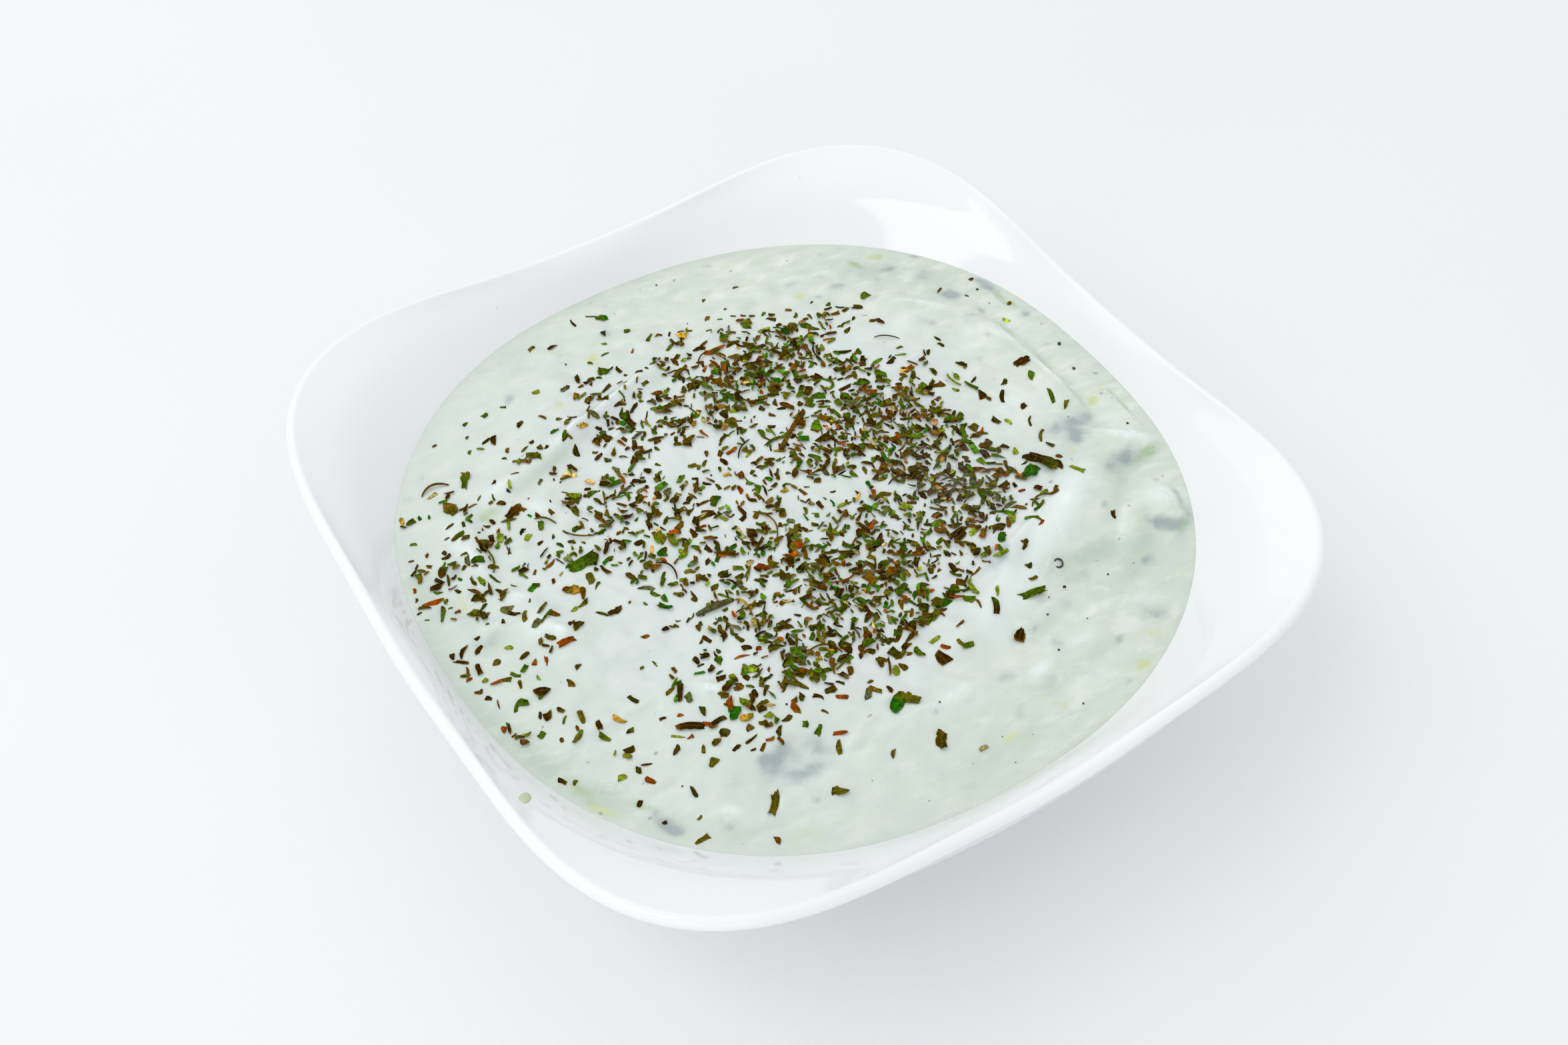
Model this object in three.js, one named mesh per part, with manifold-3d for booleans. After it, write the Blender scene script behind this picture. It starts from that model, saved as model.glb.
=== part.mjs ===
// A square porcelain dish with rounded sides, filled with a yoghurt and cucumber dip
// that is strewn with dried herbs. Millimetres, +Z up. The origin is under the middle
// of the dish, on the surface that it stands on, and the dish's sides face X and Y.

import * as THREE from "three";
import { mergeVertices } from "three/addons/utils/BufferGeometryUtils.js";
import Module from "manifold-3d";

// ---- Driving dimensions -------------------------------------------------------------

// Dish, each length once across the flat sides and once across the corners
const WIDTH = { flats: 125, corners: 150 };
const LIP_TOP = { flats: 38, corners: 42 };
const LIP_RADIUS = 1.9; // the lip is rounded all the way over
const LIP_SLOPE = { flats: 62, corners: 26 }; // degrees, the inner wall where it meets the lip
const UNDERSIDE_SLOPE = { flats: 62, corners: 30 }; // degrees, the outer wall below the lip
const DRAWN_IN = 1.76; // how far the stretches between a flat and a corner are pulled inwards
const FLOOR = 8; // height of the inside floor
const BELLY = 4; // height of the underside within the foot ring
const FOOT = { outer: 35.6, inner: 30.2, height: 5.5, rounding: 0.8 };

// Dip
const DIP_LEVEL = 32; // mean height of the dip where it meets the wall
const MOUND = 0.9; // how much higher the middle lies
const GAP = 0.35; // clearance between dip and dish
const HERB_COUNT = 200; // the largest herb pieces only
const HERB_LENGTH = { longest: 3.1, shortest: 1.7 };
const HERB_STANDS = 0.35; // how far a herb piece's top stands out of the dip
const HERB_SUNK = 0.8; // how far its underside reaches into the dip

// Mesh steps
const STEPS_ROUND = 64;
const STEPS_INSIDE = 11;
const STEPS_OUTSIDE = 8;
const STEPS_LIP = 6;
const STEPS_DIP_UNDERSIDE = 8;
const STEPS_DIP_TOP = 14;

// ---- Curves -------------------------------------------------------------------------

const radians = THREE.MathUtils.degToRad;
const mix = THREE.MathUtils.lerp;

// 0 in the middle of a flat side, 1 at a corner
const cornerness = (angle) => (1 - Math.cos(4 * angle)) / 2;

// The value of a { flats, corners } pair at a cornerness
const between = (pair, share) => mix(pair.flats, pair.corners, share);

// A point of a cubic B-spline that starts and ends on its first and last control point
function splinePoint(controls, place) {
  const last = controls.length - 1;
  const span = Math.min(Math.floor(place), last - 1);
  const t = place - span;
  const weights = [(1 - t) ** 3, 3 * t ** 3 - 6 * t ** 2 + 4, -3 * t ** 3 + 3 * t ** 2 + 3 * t + 1, t ** 3];
  const at = (i) => {
    if (i < 0) return controls[0].clone().multiplyScalar(2).sub(controls[1]);
    if (i > last) return controls[last].clone().multiplyScalar(2).sub(controls[last - 1]);
    return controls[i];
  };
  const point = new THREE.Vector2();
  weights.forEach((weight, k) => point.addScaledVector(at(span - 1 + k), weight / 6));
  return point;
}

const splinePoints = (controls, steps) =>
  Array.from({ length: steps + 1 }, (_, k) => splinePoint(controls, ((controls.length - 1) * k) / steps));

// The same number of control points for a flat and for a corner, mixed by cornerness
const mixedControls = (flats, corners, share) =>
  flats.map(([r, z], k) => new THREE.Vector2(mix(r, corners[k][0], share), mix(z, corners[k][1], share)));

// ---- Dish ---------------------------------------------------------------------------

// Middle of the lip's rounding, as a radius and a height
function lipCentre(angle) {
  const share = cornerness(angle);
  const halfWidth = between(WIDTH, share) / 2 - LIP_RADIUS;
  const pull = (DRAWN_IN * (1 - Math.cos(8 * angle))) / 2;
  return new THREE.Vector2(halfWidth - pull, between(LIP_TOP, share) - LIP_RADIUS);
}

// Where a wall of a slope touches the lip's rounding: side +1 inside, -1 outside
function lipTouch(angle, slope, side) {
  const direction = radians(between(slope, cornerness(angle)) + 90 * side);
  const reach = new THREE.Vector2(Math.cos(direction), Math.sin(direction));
  return lipCentre(angle).addScaledVector(reach, LIP_RADIUS);
}

// Control points of the inner wall, from the middle of the floor up to the lip
function innerControls(angle) {
  const flats = [[0, FLOOR], [13, FLOOR], [26, FLOOR], [38.5, 14], [48.5, 22.5], [55.3, 29.7], [57.6, 34.3]];
  const corners = [[0, FLOOR], [13, FLOOR], [26, FLOOR], [39.5, 14.5], [50.5, 23.2], [59, 32], [65.2, 38.3]];
  return [...mixedControls(flats, corners, cornerness(angle)), lipTouch(angle, LIP_SLOPE, 1)];
}

// Control points of the outer wall, from the lip down to the foot ring
function outerControls(angle) {
  const flats = [[60.8, 31.2], [56, 24.6], [48.5, 16.6], [41, 9.8], [36.5, FOOT.height]];
  const corners = [[68.2, 34.9], [61.2, 28.4], [52, 18.8], [42.5, 10.6], [36.5, FOOT.height]];
  return [lipTouch(angle, UNDERSIDE_SLOPE, -1), ...mixedControls(flats, corners, cornerness(angle))];
}

// The lip's rounding, from its inner to its outer touching point
function lipArc(angle) {
  const share = cornerness(angle);
  const start = radians(between(LIP_SLOPE, share) + 90);
  const end = radians(between(UNDERSIDE_SLOPE, share) - 90);
  const centre = lipCentre(angle);
  return Array.from({ length: STEPS_LIP - 1 }, (_, k) => {
    const turn = mix(start, end, (k + 1) / STEPS_LIP);
    return new THREE.Vector2(Math.cos(turn), Math.sin(turn)).multiplyScalar(LIP_RADIUS).add(centre);
  });
}

// The foot ring and the underside within it, from outside to the axis
function footPoints() {
  const { outer, inner, rounding } = FOOT;
  const rows = [
    [outer, rounding],
    [outer - rounding, 0],
    [inner + rounding, 0],
    [inner, rounding],
    [inner - 2 * rounding, BELLY],
    [0, BELLY],
  ];
  return rows.map(([r, z]) => new THREE.Vector2(r, z));
}

const dishSection = (angle) => [
  ...splinePoints(innerControls(angle), STEPS_INSIDE),
  ...lipArc(angle),
  ...splinePoints(outerControls(angle), STEPS_OUTSIDE),
  ...footPoints(),
];

// ---- Closed shapes from sections ----------------------------------------------------

const stepAngle = (step) => (2 * Math.PI * step) / STEPS_ROUND;

// Sweeps a section round Z. section(angle) runs from axis to axis, clockwise as seen with the
// radius to the right, and always has the same number of points.
function sweptSolid(section) {
  const rings = Array.from({ length: STEPS_ROUND }, (_, step) => section(stepAngle(step)));
  const count = rings[0].length;
  const positions = [];
  const indices = [];
  const poles = [rings[0][0].y, rings[0][count - 1].y];
  rings.forEach((ring, step) => {
    const angle = stepAngle(step);
    ring.slice(1, -1).forEach((p) => positions.push(p.x * Math.cos(angle), p.x * Math.sin(angle), p.y));
  });
  const perRing = count - 2;
  const startPole = STEPS_ROUND * perRing;
  positions.push(0, 0, poles[0], 0, 0, poles[1]);
  for (let step = 0; step < STEPS_ROUND; step++) {
    const here = step * perRing;
    const next = ((step + 1) % STEPS_ROUND) * perRing;
    indices.push(startPole, here, next, startPole + 1, next + perRing - 1, here + perRing - 1);
    for (let k = 0; k < perRing - 1; k++) {
      indices.push(here + k, here + k + 1, next + k + 1, here + k, next + k + 1, next + k);
    }
  }
  const geometry = new THREE.BufferGeometry();
  geometry.setAttribute("position", new THREE.Float32BufferAttribute(positions, 3));
  geometry.setIndex(indices);
  return geometry;
}

// ---- Dip surface --------------------------------------------------------------------

// Waves of the line where the dip meets the wall: turns per circle, height, azimuth of a crest
const SHORE_WAVES = [
  [1, 0.15, -45],
  [2, 0.85, 19],
  [3, 0.32, -15],
  [5, 0.11, -45],
];

// Spoon marks: each row is a ridge from one point to another, with its half width and its
// height, negative for a furrow
const SPOON_MARKS = [
  [-34, 25, -20, 29.5, 2.4, 1.1],
  [-20, 29.5, -3, 35, 2.0, 1.0],
  [-42.5, 23, -45, 12, 2.2, 1.0],
  [-49, 19, -49, 8, 3.0, -0.7],
  [-43, 6, -40, -4, 2.2, 0.8],
  [-33, 20, -30, 15, 2.2, 0.7],
  [37, 28, 46, 17, 2.2, 0.7],
  [46, 15, 48, -6, 2.0, 0.8],
  [50.5, 10, 50, -9, 2.0, -0.6],
  [46.5, -14.5, 52, -18.5, 2.0, 0.8],
  [44.5, -20, 51, -22.5, 2.2, -0.7],
  [44, -27, 47, -29.5, 2.4, 0.8],
  [42, -33, 48, -32, 2.2, -0.6],
  [20, -25, 35, -23, 3.4, 1.0],
  [25, -33, 36, -31, 2.6, -0.7],
  [4, -34.5, 17, -29, 2.4, 0.8],
  [-9, -41, 3, -41, 2.6, 0.7],
  [8, -43, 27, -40, 2.0, 0.6],
  [29, -42, 37, -40, 2.2, 0.5],
  [-29, -38, -20, -38, 3.2, -0.9],
  [-34, -13, -28, -19, 5.0, -0.5],
];

// Height of a spoon mark at a point: a bell curve of the distance to its line
function markHeight([x0, y0, x1, y1, halfWidth, height], x, y) {
  const along = THREE.MathUtils.clamp(
    ((x - x0) * (x1 - x0) + (y - y0) * (y1 - y0)) / ((x1 - x0) ** 2 + (y1 - y0) ** 2), 0, 1);
  const distance = Math.hypot(x - mix(x0, x1, along), y - mix(y0, y1, along));
  return height * Math.exp(-((distance / halfWidth) ** 2));
}

const shoreHeight = (angle) =>
  SHORE_WAVES.reduce((sum, [turns, height, crest]) =>
    sum + height * Math.cos(turns * (angle - radians(crest))), DIP_LEVEL);

// Slow swells over the whole dip
const swell = (x, y) =>
  0.35 * Math.sin(x / 9 + 0.8) * Math.cos(y / 11 - 0.4) + 0.2 * Math.sin((x - 1.3 * y) / 6.5);

// Height of the dip's surface, where share is the point's place from the middle to the wall
function surfaceHeight(x, y, share) {
  const shore = mix(DIP_LEVEL + MOUND, shoreHeight(Math.atan2(y, x)), share ** 2);
  const marks = SPOON_MARKS.reduce((sum, mark) => sum + markHeight(mark, x, y), 0);
  return shore + (swell(x, y) + marks) * (1 - share ** 12);
}

// Place on the inner wall's curve that has a height
function placeAtHeight(controls, height) {
  let [low, high] = [1, controls.length - 1];
  for (let k = 0; k < 24; k++) {
    const middle = (low + high) / 2;
    if (splinePoint(controls, middle).y < height) low = middle;
    else high = middle;
  }
  return low;
}

// A point of the dip's underside: a point of the inner wall, moved inwards by the gap
function offWall(controls, place) {
  const step = 0.01;
  const before = splinePoint(controls, Math.max(place - step, 0));
  const after = splinePoint(controls, place + step);
  const along = after.sub(before).normalize();
  const point = splinePoint(controls, place).add(new THREE.Vector2(-along.y, along.x).multiplyScalar(GAP));
  point.x = Math.max(point.x, 0);
  return point;
}

// The dip's edge at an angle, where its surface ends beside the wall
function dipEdge(angle) {
  const controls = innerControls(angle);
  return offWall(controls, placeAtHeight(controls, shoreHeight(angle)));
}

function dipSection(angle) {
  const controls = innerControls(angle);
  const rimPlace = placeAtHeight(controls, shoreHeight(angle));
  const underside = Array.from({ length: STEPS_DIP_UNDERSIDE + 1 }, (_, k) =>
    offWall(controls, (rimPlace * k) / STEPS_DIP_UNDERSIDE));
  const edge = underside[STEPS_DIP_UNDERSIDE];
  const top = Array.from({ length: STEPS_DIP_TOP }, (_, k) => {
    const share = 1 - (k + 1) / STEPS_DIP_TOP;
    const r = edge.x * share;
    return new THREE.Vector2(r, surfaceHeight(r * Math.cos(angle), r * Math.sin(angle), share));
  });
  return [...top.reverse(), ...underside.reverse()];
}

// ---- Herbs --------------------------------------------------------------------------

// Pieces that stand out: middle x and y, length, width, and the azimuth of the length
const NOTABLE_HERBS = [
  [-20, -10.4, 6, 1.2, 0],
  [9, 12.4, 7, 0.9, 32],
  [36, -14, 4.4, 3, -62],
  [32.8, -14.8, 3.2, 2.6, 20],
  [46.2, 4.1, 2.6, 1.4, -15],
  [-8, -37.7, 3.6, 2, 25],
  [19, -33, 4.2, 1.3, -8],
  [-27.7, -27.6, 2.4, 1.8, 40],
  [-33.5, -26.2, 3.6, 1.2, -30],
  [-31.5, 6, 4.6, 2.6, 5],
  [-38.5, 30, 3, 2.4, 60],
  [-35.3, 20.2, 3, 1.8, 8],
  [-42.8, 25.8, 2.8, 2.2, 80],
  [-12, 27.5, 3.6, 1.1, 78],
  [13, -37.3, 2.4, 1.6, 40],
  [-30.5, -41.8, 3.8, 1, 50],
  [-22.5, -44.8, 2.2, 1.5, -30],
  [-6.8, -45.6, 2.4, 1.7, 50],
];

// Where the herbs lie thick: middle x and y, half length, half width, azimuth of the
// length, and the share of the surface that they hide
const HERB_PATCHES = [
  [10, 27, 17, 8, 0, 0.6],
  [23, 0, 18, 9, 90, 0.65],
  [-4, -20, 18, 9, 0, 0.62],
  [-22, 9, 12, 9, 60, 0.35],
  [-8, 0, 40, 30, 0, 0.16],
  [-52, 3, 18, 6, 90, 0.12],
];
const BARE_PATCH = [-32, -12, 10, 7, -60, 1];
const HERB_FIELD = { x: -7, y: 3, halfX: 43, halfY: 38 }; // few pieces fall outside this round
const LOWER_RIGHT_END = 30; // the field's far side towards azimuth -53
const STRAY_SHARE = 0.006;

// 1 in the middle of a patch, falling as a bell curve
function patchShare([x0, y0, halfLength, halfWidth, azimuth], x, y) {
  const turn = radians(azimuth);
  const along = ((x - x0) * Math.cos(turn) + (y - y0) * Math.sin(turn)) / halfLength;
  const across = ((y - y0) * Math.cos(turn) - (x - x0) * Math.sin(turn)) / halfWidth;
  return Math.exp(-(along ** 2 + across ** 2));
}

// Share of the surface that herbs hide at a point
function herbShare(x, y) {
  const { x: x0, y: y0, halfX, halfY } = HERB_FIELD;
  const patches = HERB_PATCHES.reduce((sum, patch) => sum + patch[5] * patchShare(patch, x, y), 0);
  const field = Math.hypot((x - x0) / halfX, (y - y0) / halfY);
  const inField = 1 - THREE.MathUtils.smoothstep(field, 0.9, 1.12);
  const outwards = 0.6 * x - 0.8 * y;
  const beforeEnd = 1 - THREE.MathUtils.smoothstep(outwards, LOWER_RIGHT_END - 3, LOWER_RIGHT_END + 3);
  const bare = 1 - 0.97 * patchShare(BARE_PATCH, x, y);
  return STRAY_SHARE + patches * inField * beforeEnd * bare;
}

// Seeded random numbers from 0 to 1
function randomNumbers(seed) {
  let state = seed;
  return () => {
    state = (state * 1664525 + 1013904223) % 4294967296;
    return state / 4294967296;
  };
}

// The herb pieces, the largest first, clear of each other, with more where the herbs lie thick
function herbPieces() {
  const random = randomNumbers(20);
  const pieces = NOTABLE_HERBS.map(([x, y, length, width, azimuth]) =>
    ({ x, y, length, width, turn: radians(azimuth) }));
  while (pieces.length < HERB_COUNT) {
    const done = pieces.length / HERB_COUNT;
    const length = mix(HERB_LENGTH.longest, HERB_LENGTH.shortest, Math.sqrt(done));
    const x = 112 * (random() - 0.5);
    const y = 112 * (random() - 0.5);
    const chosen = random() < herbShare(x, y);
    const width = length * mix(0.35, 0.75, random());
    const turn = Math.PI * random();
    const reach = Math.hypot(x, y) + length / 2;
    const clear = pieces.every((p) => Math.hypot(p.x - x, p.y - y) > 0.55 * (p.length + length));
    if (chosen && clear && reach < 54.5) pieces.push({ x, y, length, width, turn });
  }
  return pieces;
}

// A leaf fragment: a thin prism with an uneven outline, lying on the dip and partly sunk
function herbPrism({ x, y, length, width, turn }, index) {
  const random = randomNumbers(1000 + 37 * index);
  const sides = width > 0.45 * length ? 5 : 4;
  const shape = new THREE.Shape(Array.from({ length: sides }, (_, k) => {
    const corner = (2 * Math.PI * (k + 0.3 * random())) / sides;
    return new THREE.Vector2((length / 2) * Math.cos(corner), (width / 2) * Math.sin(corner));
  }));
  const prism = new THREE.ExtrudeGeometry(shape, { depth: HERB_STANDS + HERB_SUNK, bevelEnabled: false });
  const share = Math.hypot(x, y) / dipEdge(Math.atan2(y, x)).x;
  prism.translate(0, 0, -HERB_SUNK);
  prism.rotateX(radians(24 * (random() - 0.5)));
  prism.rotateY(radians(16 * (random() - 0.5)));
  prism.rotateZ(turn);
  prism.translate(x, y, surfaceHeight(x, y, share));
  return prism;
}

// ---- Solids and meshes --------------------------------------------------------------

const wasm = await Module();
wasm.setup();

function solidFrom(geometry) {
  geometry.deleteAttribute("normal");
  geometry.deleteAttribute("uv");
  const merged = mergeVertices(geometry, 1e-4);
  return new wasm.Manifold(new wasm.Mesh({
    numProp: 3,
    vertProperties: Float32Array.from(merged.attributes.position.array),
    triVerts: Uint32Array.from(merged.index.array),
  }));
}

function geometryFrom(solid) {
  const { vertProperties, triVerts } = solid.getMesh();
  const geometry = new THREE.BufferGeometry();
  geometry.setAttribute("position", new THREE.BufferAttribute(vertProperties, 3));
  geometry.setIndex(new THREE.BufferAttribute(triVerts, 1));
  return geometry;
}

function named(name, geometry, material) {
  geometry.computeVertexNormals();
  const mesh = new THREE.Mesh(geometry, material);
  mesh.name = name;
  return mesh;
}

function makeDish() {
  const porcelain = new THREE.MeshStandardMaterial({ color: 0xf4f5f8, roughness: 0.12, metalness: 0 });
  return named("bowl", sweptSolid(dishSection), porcelain);
}

function makeDip() {
  const yoghurt = new THREE.MeshStandardMaterial({ color: 0xdbe6dc, roughness: 0.35, metalness: 0 });
  const core = solidFrom(sweptSolid(dipSection));
  const strewn = herbPieces().reduce((solid, piece, index) =>
    solid.add(solidFrom(herbPrism(piece, index))), core);
  return named("dip", geometryFrom(strewn), yoghurt);
}

const part = new THREE.Group();
part.add(makeDish(), makeDip());
export default part;
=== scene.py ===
"""The looks of a yoghurt and cucumber dip, strewn with dried herbs, in a square porcelain dish.

Tables and surface functions work in millimetres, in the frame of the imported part: +Z up, the
origin under the middle of the dish, its flat sides facing X and Y. A mesh gets its points in
metres. An azimuth runs from +X towards +Y. A share runs from 0 to 1. Angles in tables are
degrees.
"""

import math

import bpy
import numpy as np
from mathutils import Matrix, Vector


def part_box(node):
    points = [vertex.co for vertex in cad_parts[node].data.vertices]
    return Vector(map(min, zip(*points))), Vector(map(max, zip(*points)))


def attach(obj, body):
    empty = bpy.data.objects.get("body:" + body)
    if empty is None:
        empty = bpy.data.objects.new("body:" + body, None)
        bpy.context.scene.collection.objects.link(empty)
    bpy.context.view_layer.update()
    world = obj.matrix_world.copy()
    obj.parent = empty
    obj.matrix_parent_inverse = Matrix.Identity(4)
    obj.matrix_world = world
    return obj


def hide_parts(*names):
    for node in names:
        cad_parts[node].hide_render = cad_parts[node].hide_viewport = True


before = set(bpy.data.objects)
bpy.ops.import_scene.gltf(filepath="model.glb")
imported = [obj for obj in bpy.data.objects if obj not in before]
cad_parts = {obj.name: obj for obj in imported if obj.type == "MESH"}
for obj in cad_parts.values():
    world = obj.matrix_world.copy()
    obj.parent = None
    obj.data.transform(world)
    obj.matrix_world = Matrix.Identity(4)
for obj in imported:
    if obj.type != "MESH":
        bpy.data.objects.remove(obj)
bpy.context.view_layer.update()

bl_info = {
    "name": "Herbed cucumber dip",
    "version": (1, 0, 0),
    "blender": (4, 5, 0),
    "location": "3D View > Sidebar > Dip",
    "description": "Makes a cucumber dip strewn with dried herbs, in a square porcelain dish",
    "category": "Object",
}

MM = 0.001
BOWL_LOW, BOWL_HIGH = (np.array(corner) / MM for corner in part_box("bowl"))

# ---- Sizes of the dish, each once for its flat sides and once for its corners ------------

WIDTH = (BOWL_HIGH[0] - BOWL_LOW[0], 150.0)
LIP_TOP = (38.0, BOWL_HIGH[2])
LIP_RADIUS = 1.05
LIP_SLOPE = (34.0, 22.0)  # the inner wall where it meets the lip
UNDERSIDE_SLOPE = (62.0, 30.0)  # the outer wall below the lip
DRAWN_IN = 1.76  # how far the stretches between a flat side and a corner are pulled inwards
FLOOR = 8.0
BELLY = 4.0  # height of the underside within the foot ring
FOOT_OUTER, FOOT_INNER, FOOT_HEIGHT, FOOT_ROUNDING = 35.6, 30.2, 5.5, 0.8

# Control points of the walls, radius and height: inside from the middle, outside from the lip
INNER_FLATS = (
    (0, FLOOR), (13, FLOOR), (26, FLOOR), (38.5, 14), (48.5, 22.5), (55.3, 29.7), (57.5, 34.2),
    (59.1, 36.6))
INNER_CORNERS = (
    (0, FLOOR), (13, FLOOR), (26, FLOOR), (39.5, 14.5), (50.5, 23.2), (59, 32), (65.2, 38.3),
    (69.3, 40.3))
OUTER_FLATS = ((60.8, 31.2), (56, 24.6), (48.5, 16.6), (41, 9.8), (36.5, FOOT_HEIGHT))
OUTER_CORNERS = ((68.2, 34.9), (61.2, 28.4), (52, 18.8), (42.5, 10.6), (36.5, FOOT_HEIGHT))

# ---- Form of the dip ---------------------------------------------------------------------

DIP_LEVEL = 32.0  # mean height of the dip where it meets the wall
MOUND = 0.9  # how much higher the middle lies
FADE_POWER = 12  # how late the relief fades out towards the wall
INTO_WALL = 0.25  # how far the edge reaches into the porcelain, so that no gap shows
TOP_DEPTH = 3.0  # nothing lower than this under the level is part of the top
EDGE_BAND = (0.5, 0.92)  # shares of the way to the wall over which the cream turns greener

# The bit of cucumber that sticks to the wall, a bent disc over two parameters
WALL_SHRED = (-155.0, 37.9)  # azimuth and height of its middle
SHRED_ROUND, SHRED_UP = (0.45, -0.67), (-0.54, -0.78)  # steps round and up for each parameter
SHRED_BEND = 0.1
SHRED_DOME, SHRED_SUNK = 0.2, 0.12  # how far it stands off the wall and reaches into it
SHRED_WALL_RADIUS = 63  # turns steps round into angles

# Waves of the line where the dip meets the wall: turns per circle, height, azimuth of a crest
SHORE_WAVES = ((1, 0.15, -45), (2, 0.85, 19), (3, 0.32, -15), (5, 0.11, -45))

# Spoon marks: each row is a ridge from one point to another, with its half width and its
# height, negative for a furrow
SPOON_MARKS = (
    (-34, 25, -20, 29.5, 2.4, 1.1), (-20, 29.5, -3, 35, 2, 1), (-42.5, 23, -45, 12, 2.2, 1),
    (-49, 19, -49, 8, 3, -0.7), (-43, 6, -40, -4, 2.2, 0.8), (-33, 20, -30, 15, 2.2, 0.7),
    (37, 28, 46, 17, 2.2, 0.7), (46, 15, 48, -6, 2, 0.8), (50.5, 10, 50, -9, 2, -0.6),
    (46.5, -14.5, 52, -18.5, 2, 0.8), (44.5, -20, 51, -22.5, 2.2, -0.7),
    (44, -27, 47, -29.5, 2.4, 0.8), (42, -33, 48, -32, 2.2, -0.6), (20, -25, 35, -23, 3.4, 1),
    (25, -33, 36, -31, 2.6, -0.7), (4, -34.5, 17, -29, 2.4, 0.8), (-9, -41, 3, -41, 2.6, 0.7),
    (8, -43, 27, -40, 2, 0.6), (29, -42, 37, -40, 2.2, 0.5), (-29, -38, -20, -38, 3.2, -0.9),
    (-34, -13, -28, -19, 5, -0.5),
)

# Finer marks of the spoon and lumps of cucumber just under the surface, in the same form
FINE_MARKS = (
    (39, 26, 48.5, 13, 0.5, 0.22), (48.5, 13, 48.6, -9, 0.45, 0.3), (-22, 28.8, -6, 34.2, 0.6, 0.3),
    (-45, 17, -44.6, 13, 0.8, 0.35), (-42.4, 5.6, -41, 3.4, 0.8, 0.25),
    (-41, -1, -40, -4, 0.7, 0.3), (-31.8, 18.5, -31.2, 16.6, 0.8, 0.3),
    (-38, -39.6, -36.6, -41, 0.7, 0.55), (-33.4, -36.5, -33, -37, 0.4, 0.4),
    (-28.2, -21.6, -27, -23, 0.6, 0.55), (-47, -28, -45.6, -29.6, 0.5, 0.35),
    (-12, 4.6, -10.4, 1.6, 0.8, 0.4), (23.6, -30.4, 25, -29.2, 0.5, 0.45),
    (46.4, -13.8, 52.2, -18.7, 0.75, 0.5), (53.8, -5, 53.2, -18, 0.5, 0.18),
    (45.4, -28, 47.4, -29.4, 1.4, 0.45), (43, -32.4, 47, -32.8, 0.8, -0.2),
    (51.4, -16, 52.2, -21, 0.5, 0.3), (48, -19.6, 51.2, -21.8, 0.6, -0.25),
    (35.4, -27, 39, -33.4, 0.9, 0.25), (-8, -40.6, 2, -41.4, 0.9, 0.2),
    (10.5, -43.6, 13.5, -43.8, 0.8, 0.25), (10, -34, 14, -30, 1.2, 0.25),
    (20, -27, 27, -25, 1.4, 0.2),
)

DRAG_LINES = (22.5, -32.2, 4.2, 2.2, -25, 0.7, 0.06)  # a patch, then spacing and height

# Thick white yoghurt, which stands a little higher, and thin greener dip, which lies lower:
# middle x and y, half length, half width, azimuth of the length, strength. The paler colour of
# the thick patches is partly painted highlight: on the fold's crest at (42, 23), (47.4, 11.4) and
# (48.4, 1), on a ridge at (-19.6, 29.6) and (-9, 33.6), on the lobe at (46.4, -28.6), and wet
# glints at (-44.4, 14.4), (-40.4, -3.2), (-31.4, 19), (-10.4, 2), (-36, -40) and (-28, -22).
THICK_AND_HIGHLIT_PATCHES = (
    (29, -24.5, 9, 3, 25, 0.9), (37, -19.5, 5, 2.2, 25, 0.6), (46.4, -28.6, 2.6, 2.2, 0, 0.95),
    (50.6, -17, 2.2, 0.9, -40, 1), (50.4, -13.5, 2.4, 4, 0, 0.5), (49.4, -16.4, 3.4, 0.6, -40, 0.9),
    (37.5, -30.4, 3, 0.9, 40, 0.6), (18, -31, 5, 3, 20, 0.6), (11.8, -43.4, 2.2, 0.9, 15, 0.9),
    (19, -42.6, 3.5, 1, 10, 0.6), (26, -39.7, 2.4, 0.8, -5, 0.5), (32, -42, 3, 1, -20, 0.5),
    (17, -48, 4, 1.5, 5, 0.45), (10.5, -35, 3, 3, 0, 0.4), (-2, -41.4, 5, 1.8, -5, 0.5),
    (-45.2, 19, 4, 1, 80, 0.8), (-44.4, 14.4, 2.4, 0.8, 85, 1), (-41.8, 5.2, 1.6, 1.1, -20, 0.7),
    (-42.5, -1, 2, 1.4, -40, 0.6), (-40.4, -3.2, 1, 0.6, -30, 1), (-31.4, 19, 1.4, 2.4, 10, 0.8),
    (-35.5, 25.6, 2.6, 1, 10, 0.6), (-19.6, 29.6, 5, 0.5, 18, 0.9), (-9, 33.6, 5, 0.6, 22, 0.7),
    (-10.4, 2, 0.6, 1.6, -20, 0.9), (42, 23, 4.2, 0.6, -45, 0.7), (47.4, 11.4, 3.6, 0.8, -65, 0.7),
    (48.4, 1, 5.5, 0.6, 88, 0.7), (42.5, 13, 3.5, 2.6, 0, 0.4), (40, -3.5, 5, 5, 0, 0.4),
    (52, 12, 1.6, 3, 10, 0.35), (35.5, 21.5, 3.5, 2.5, 0, 0.35), (-36, -40, 2, 0.9, -45, 0.6),
    (-28, -22, 2, 1, -40, 0.5),
)
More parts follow.
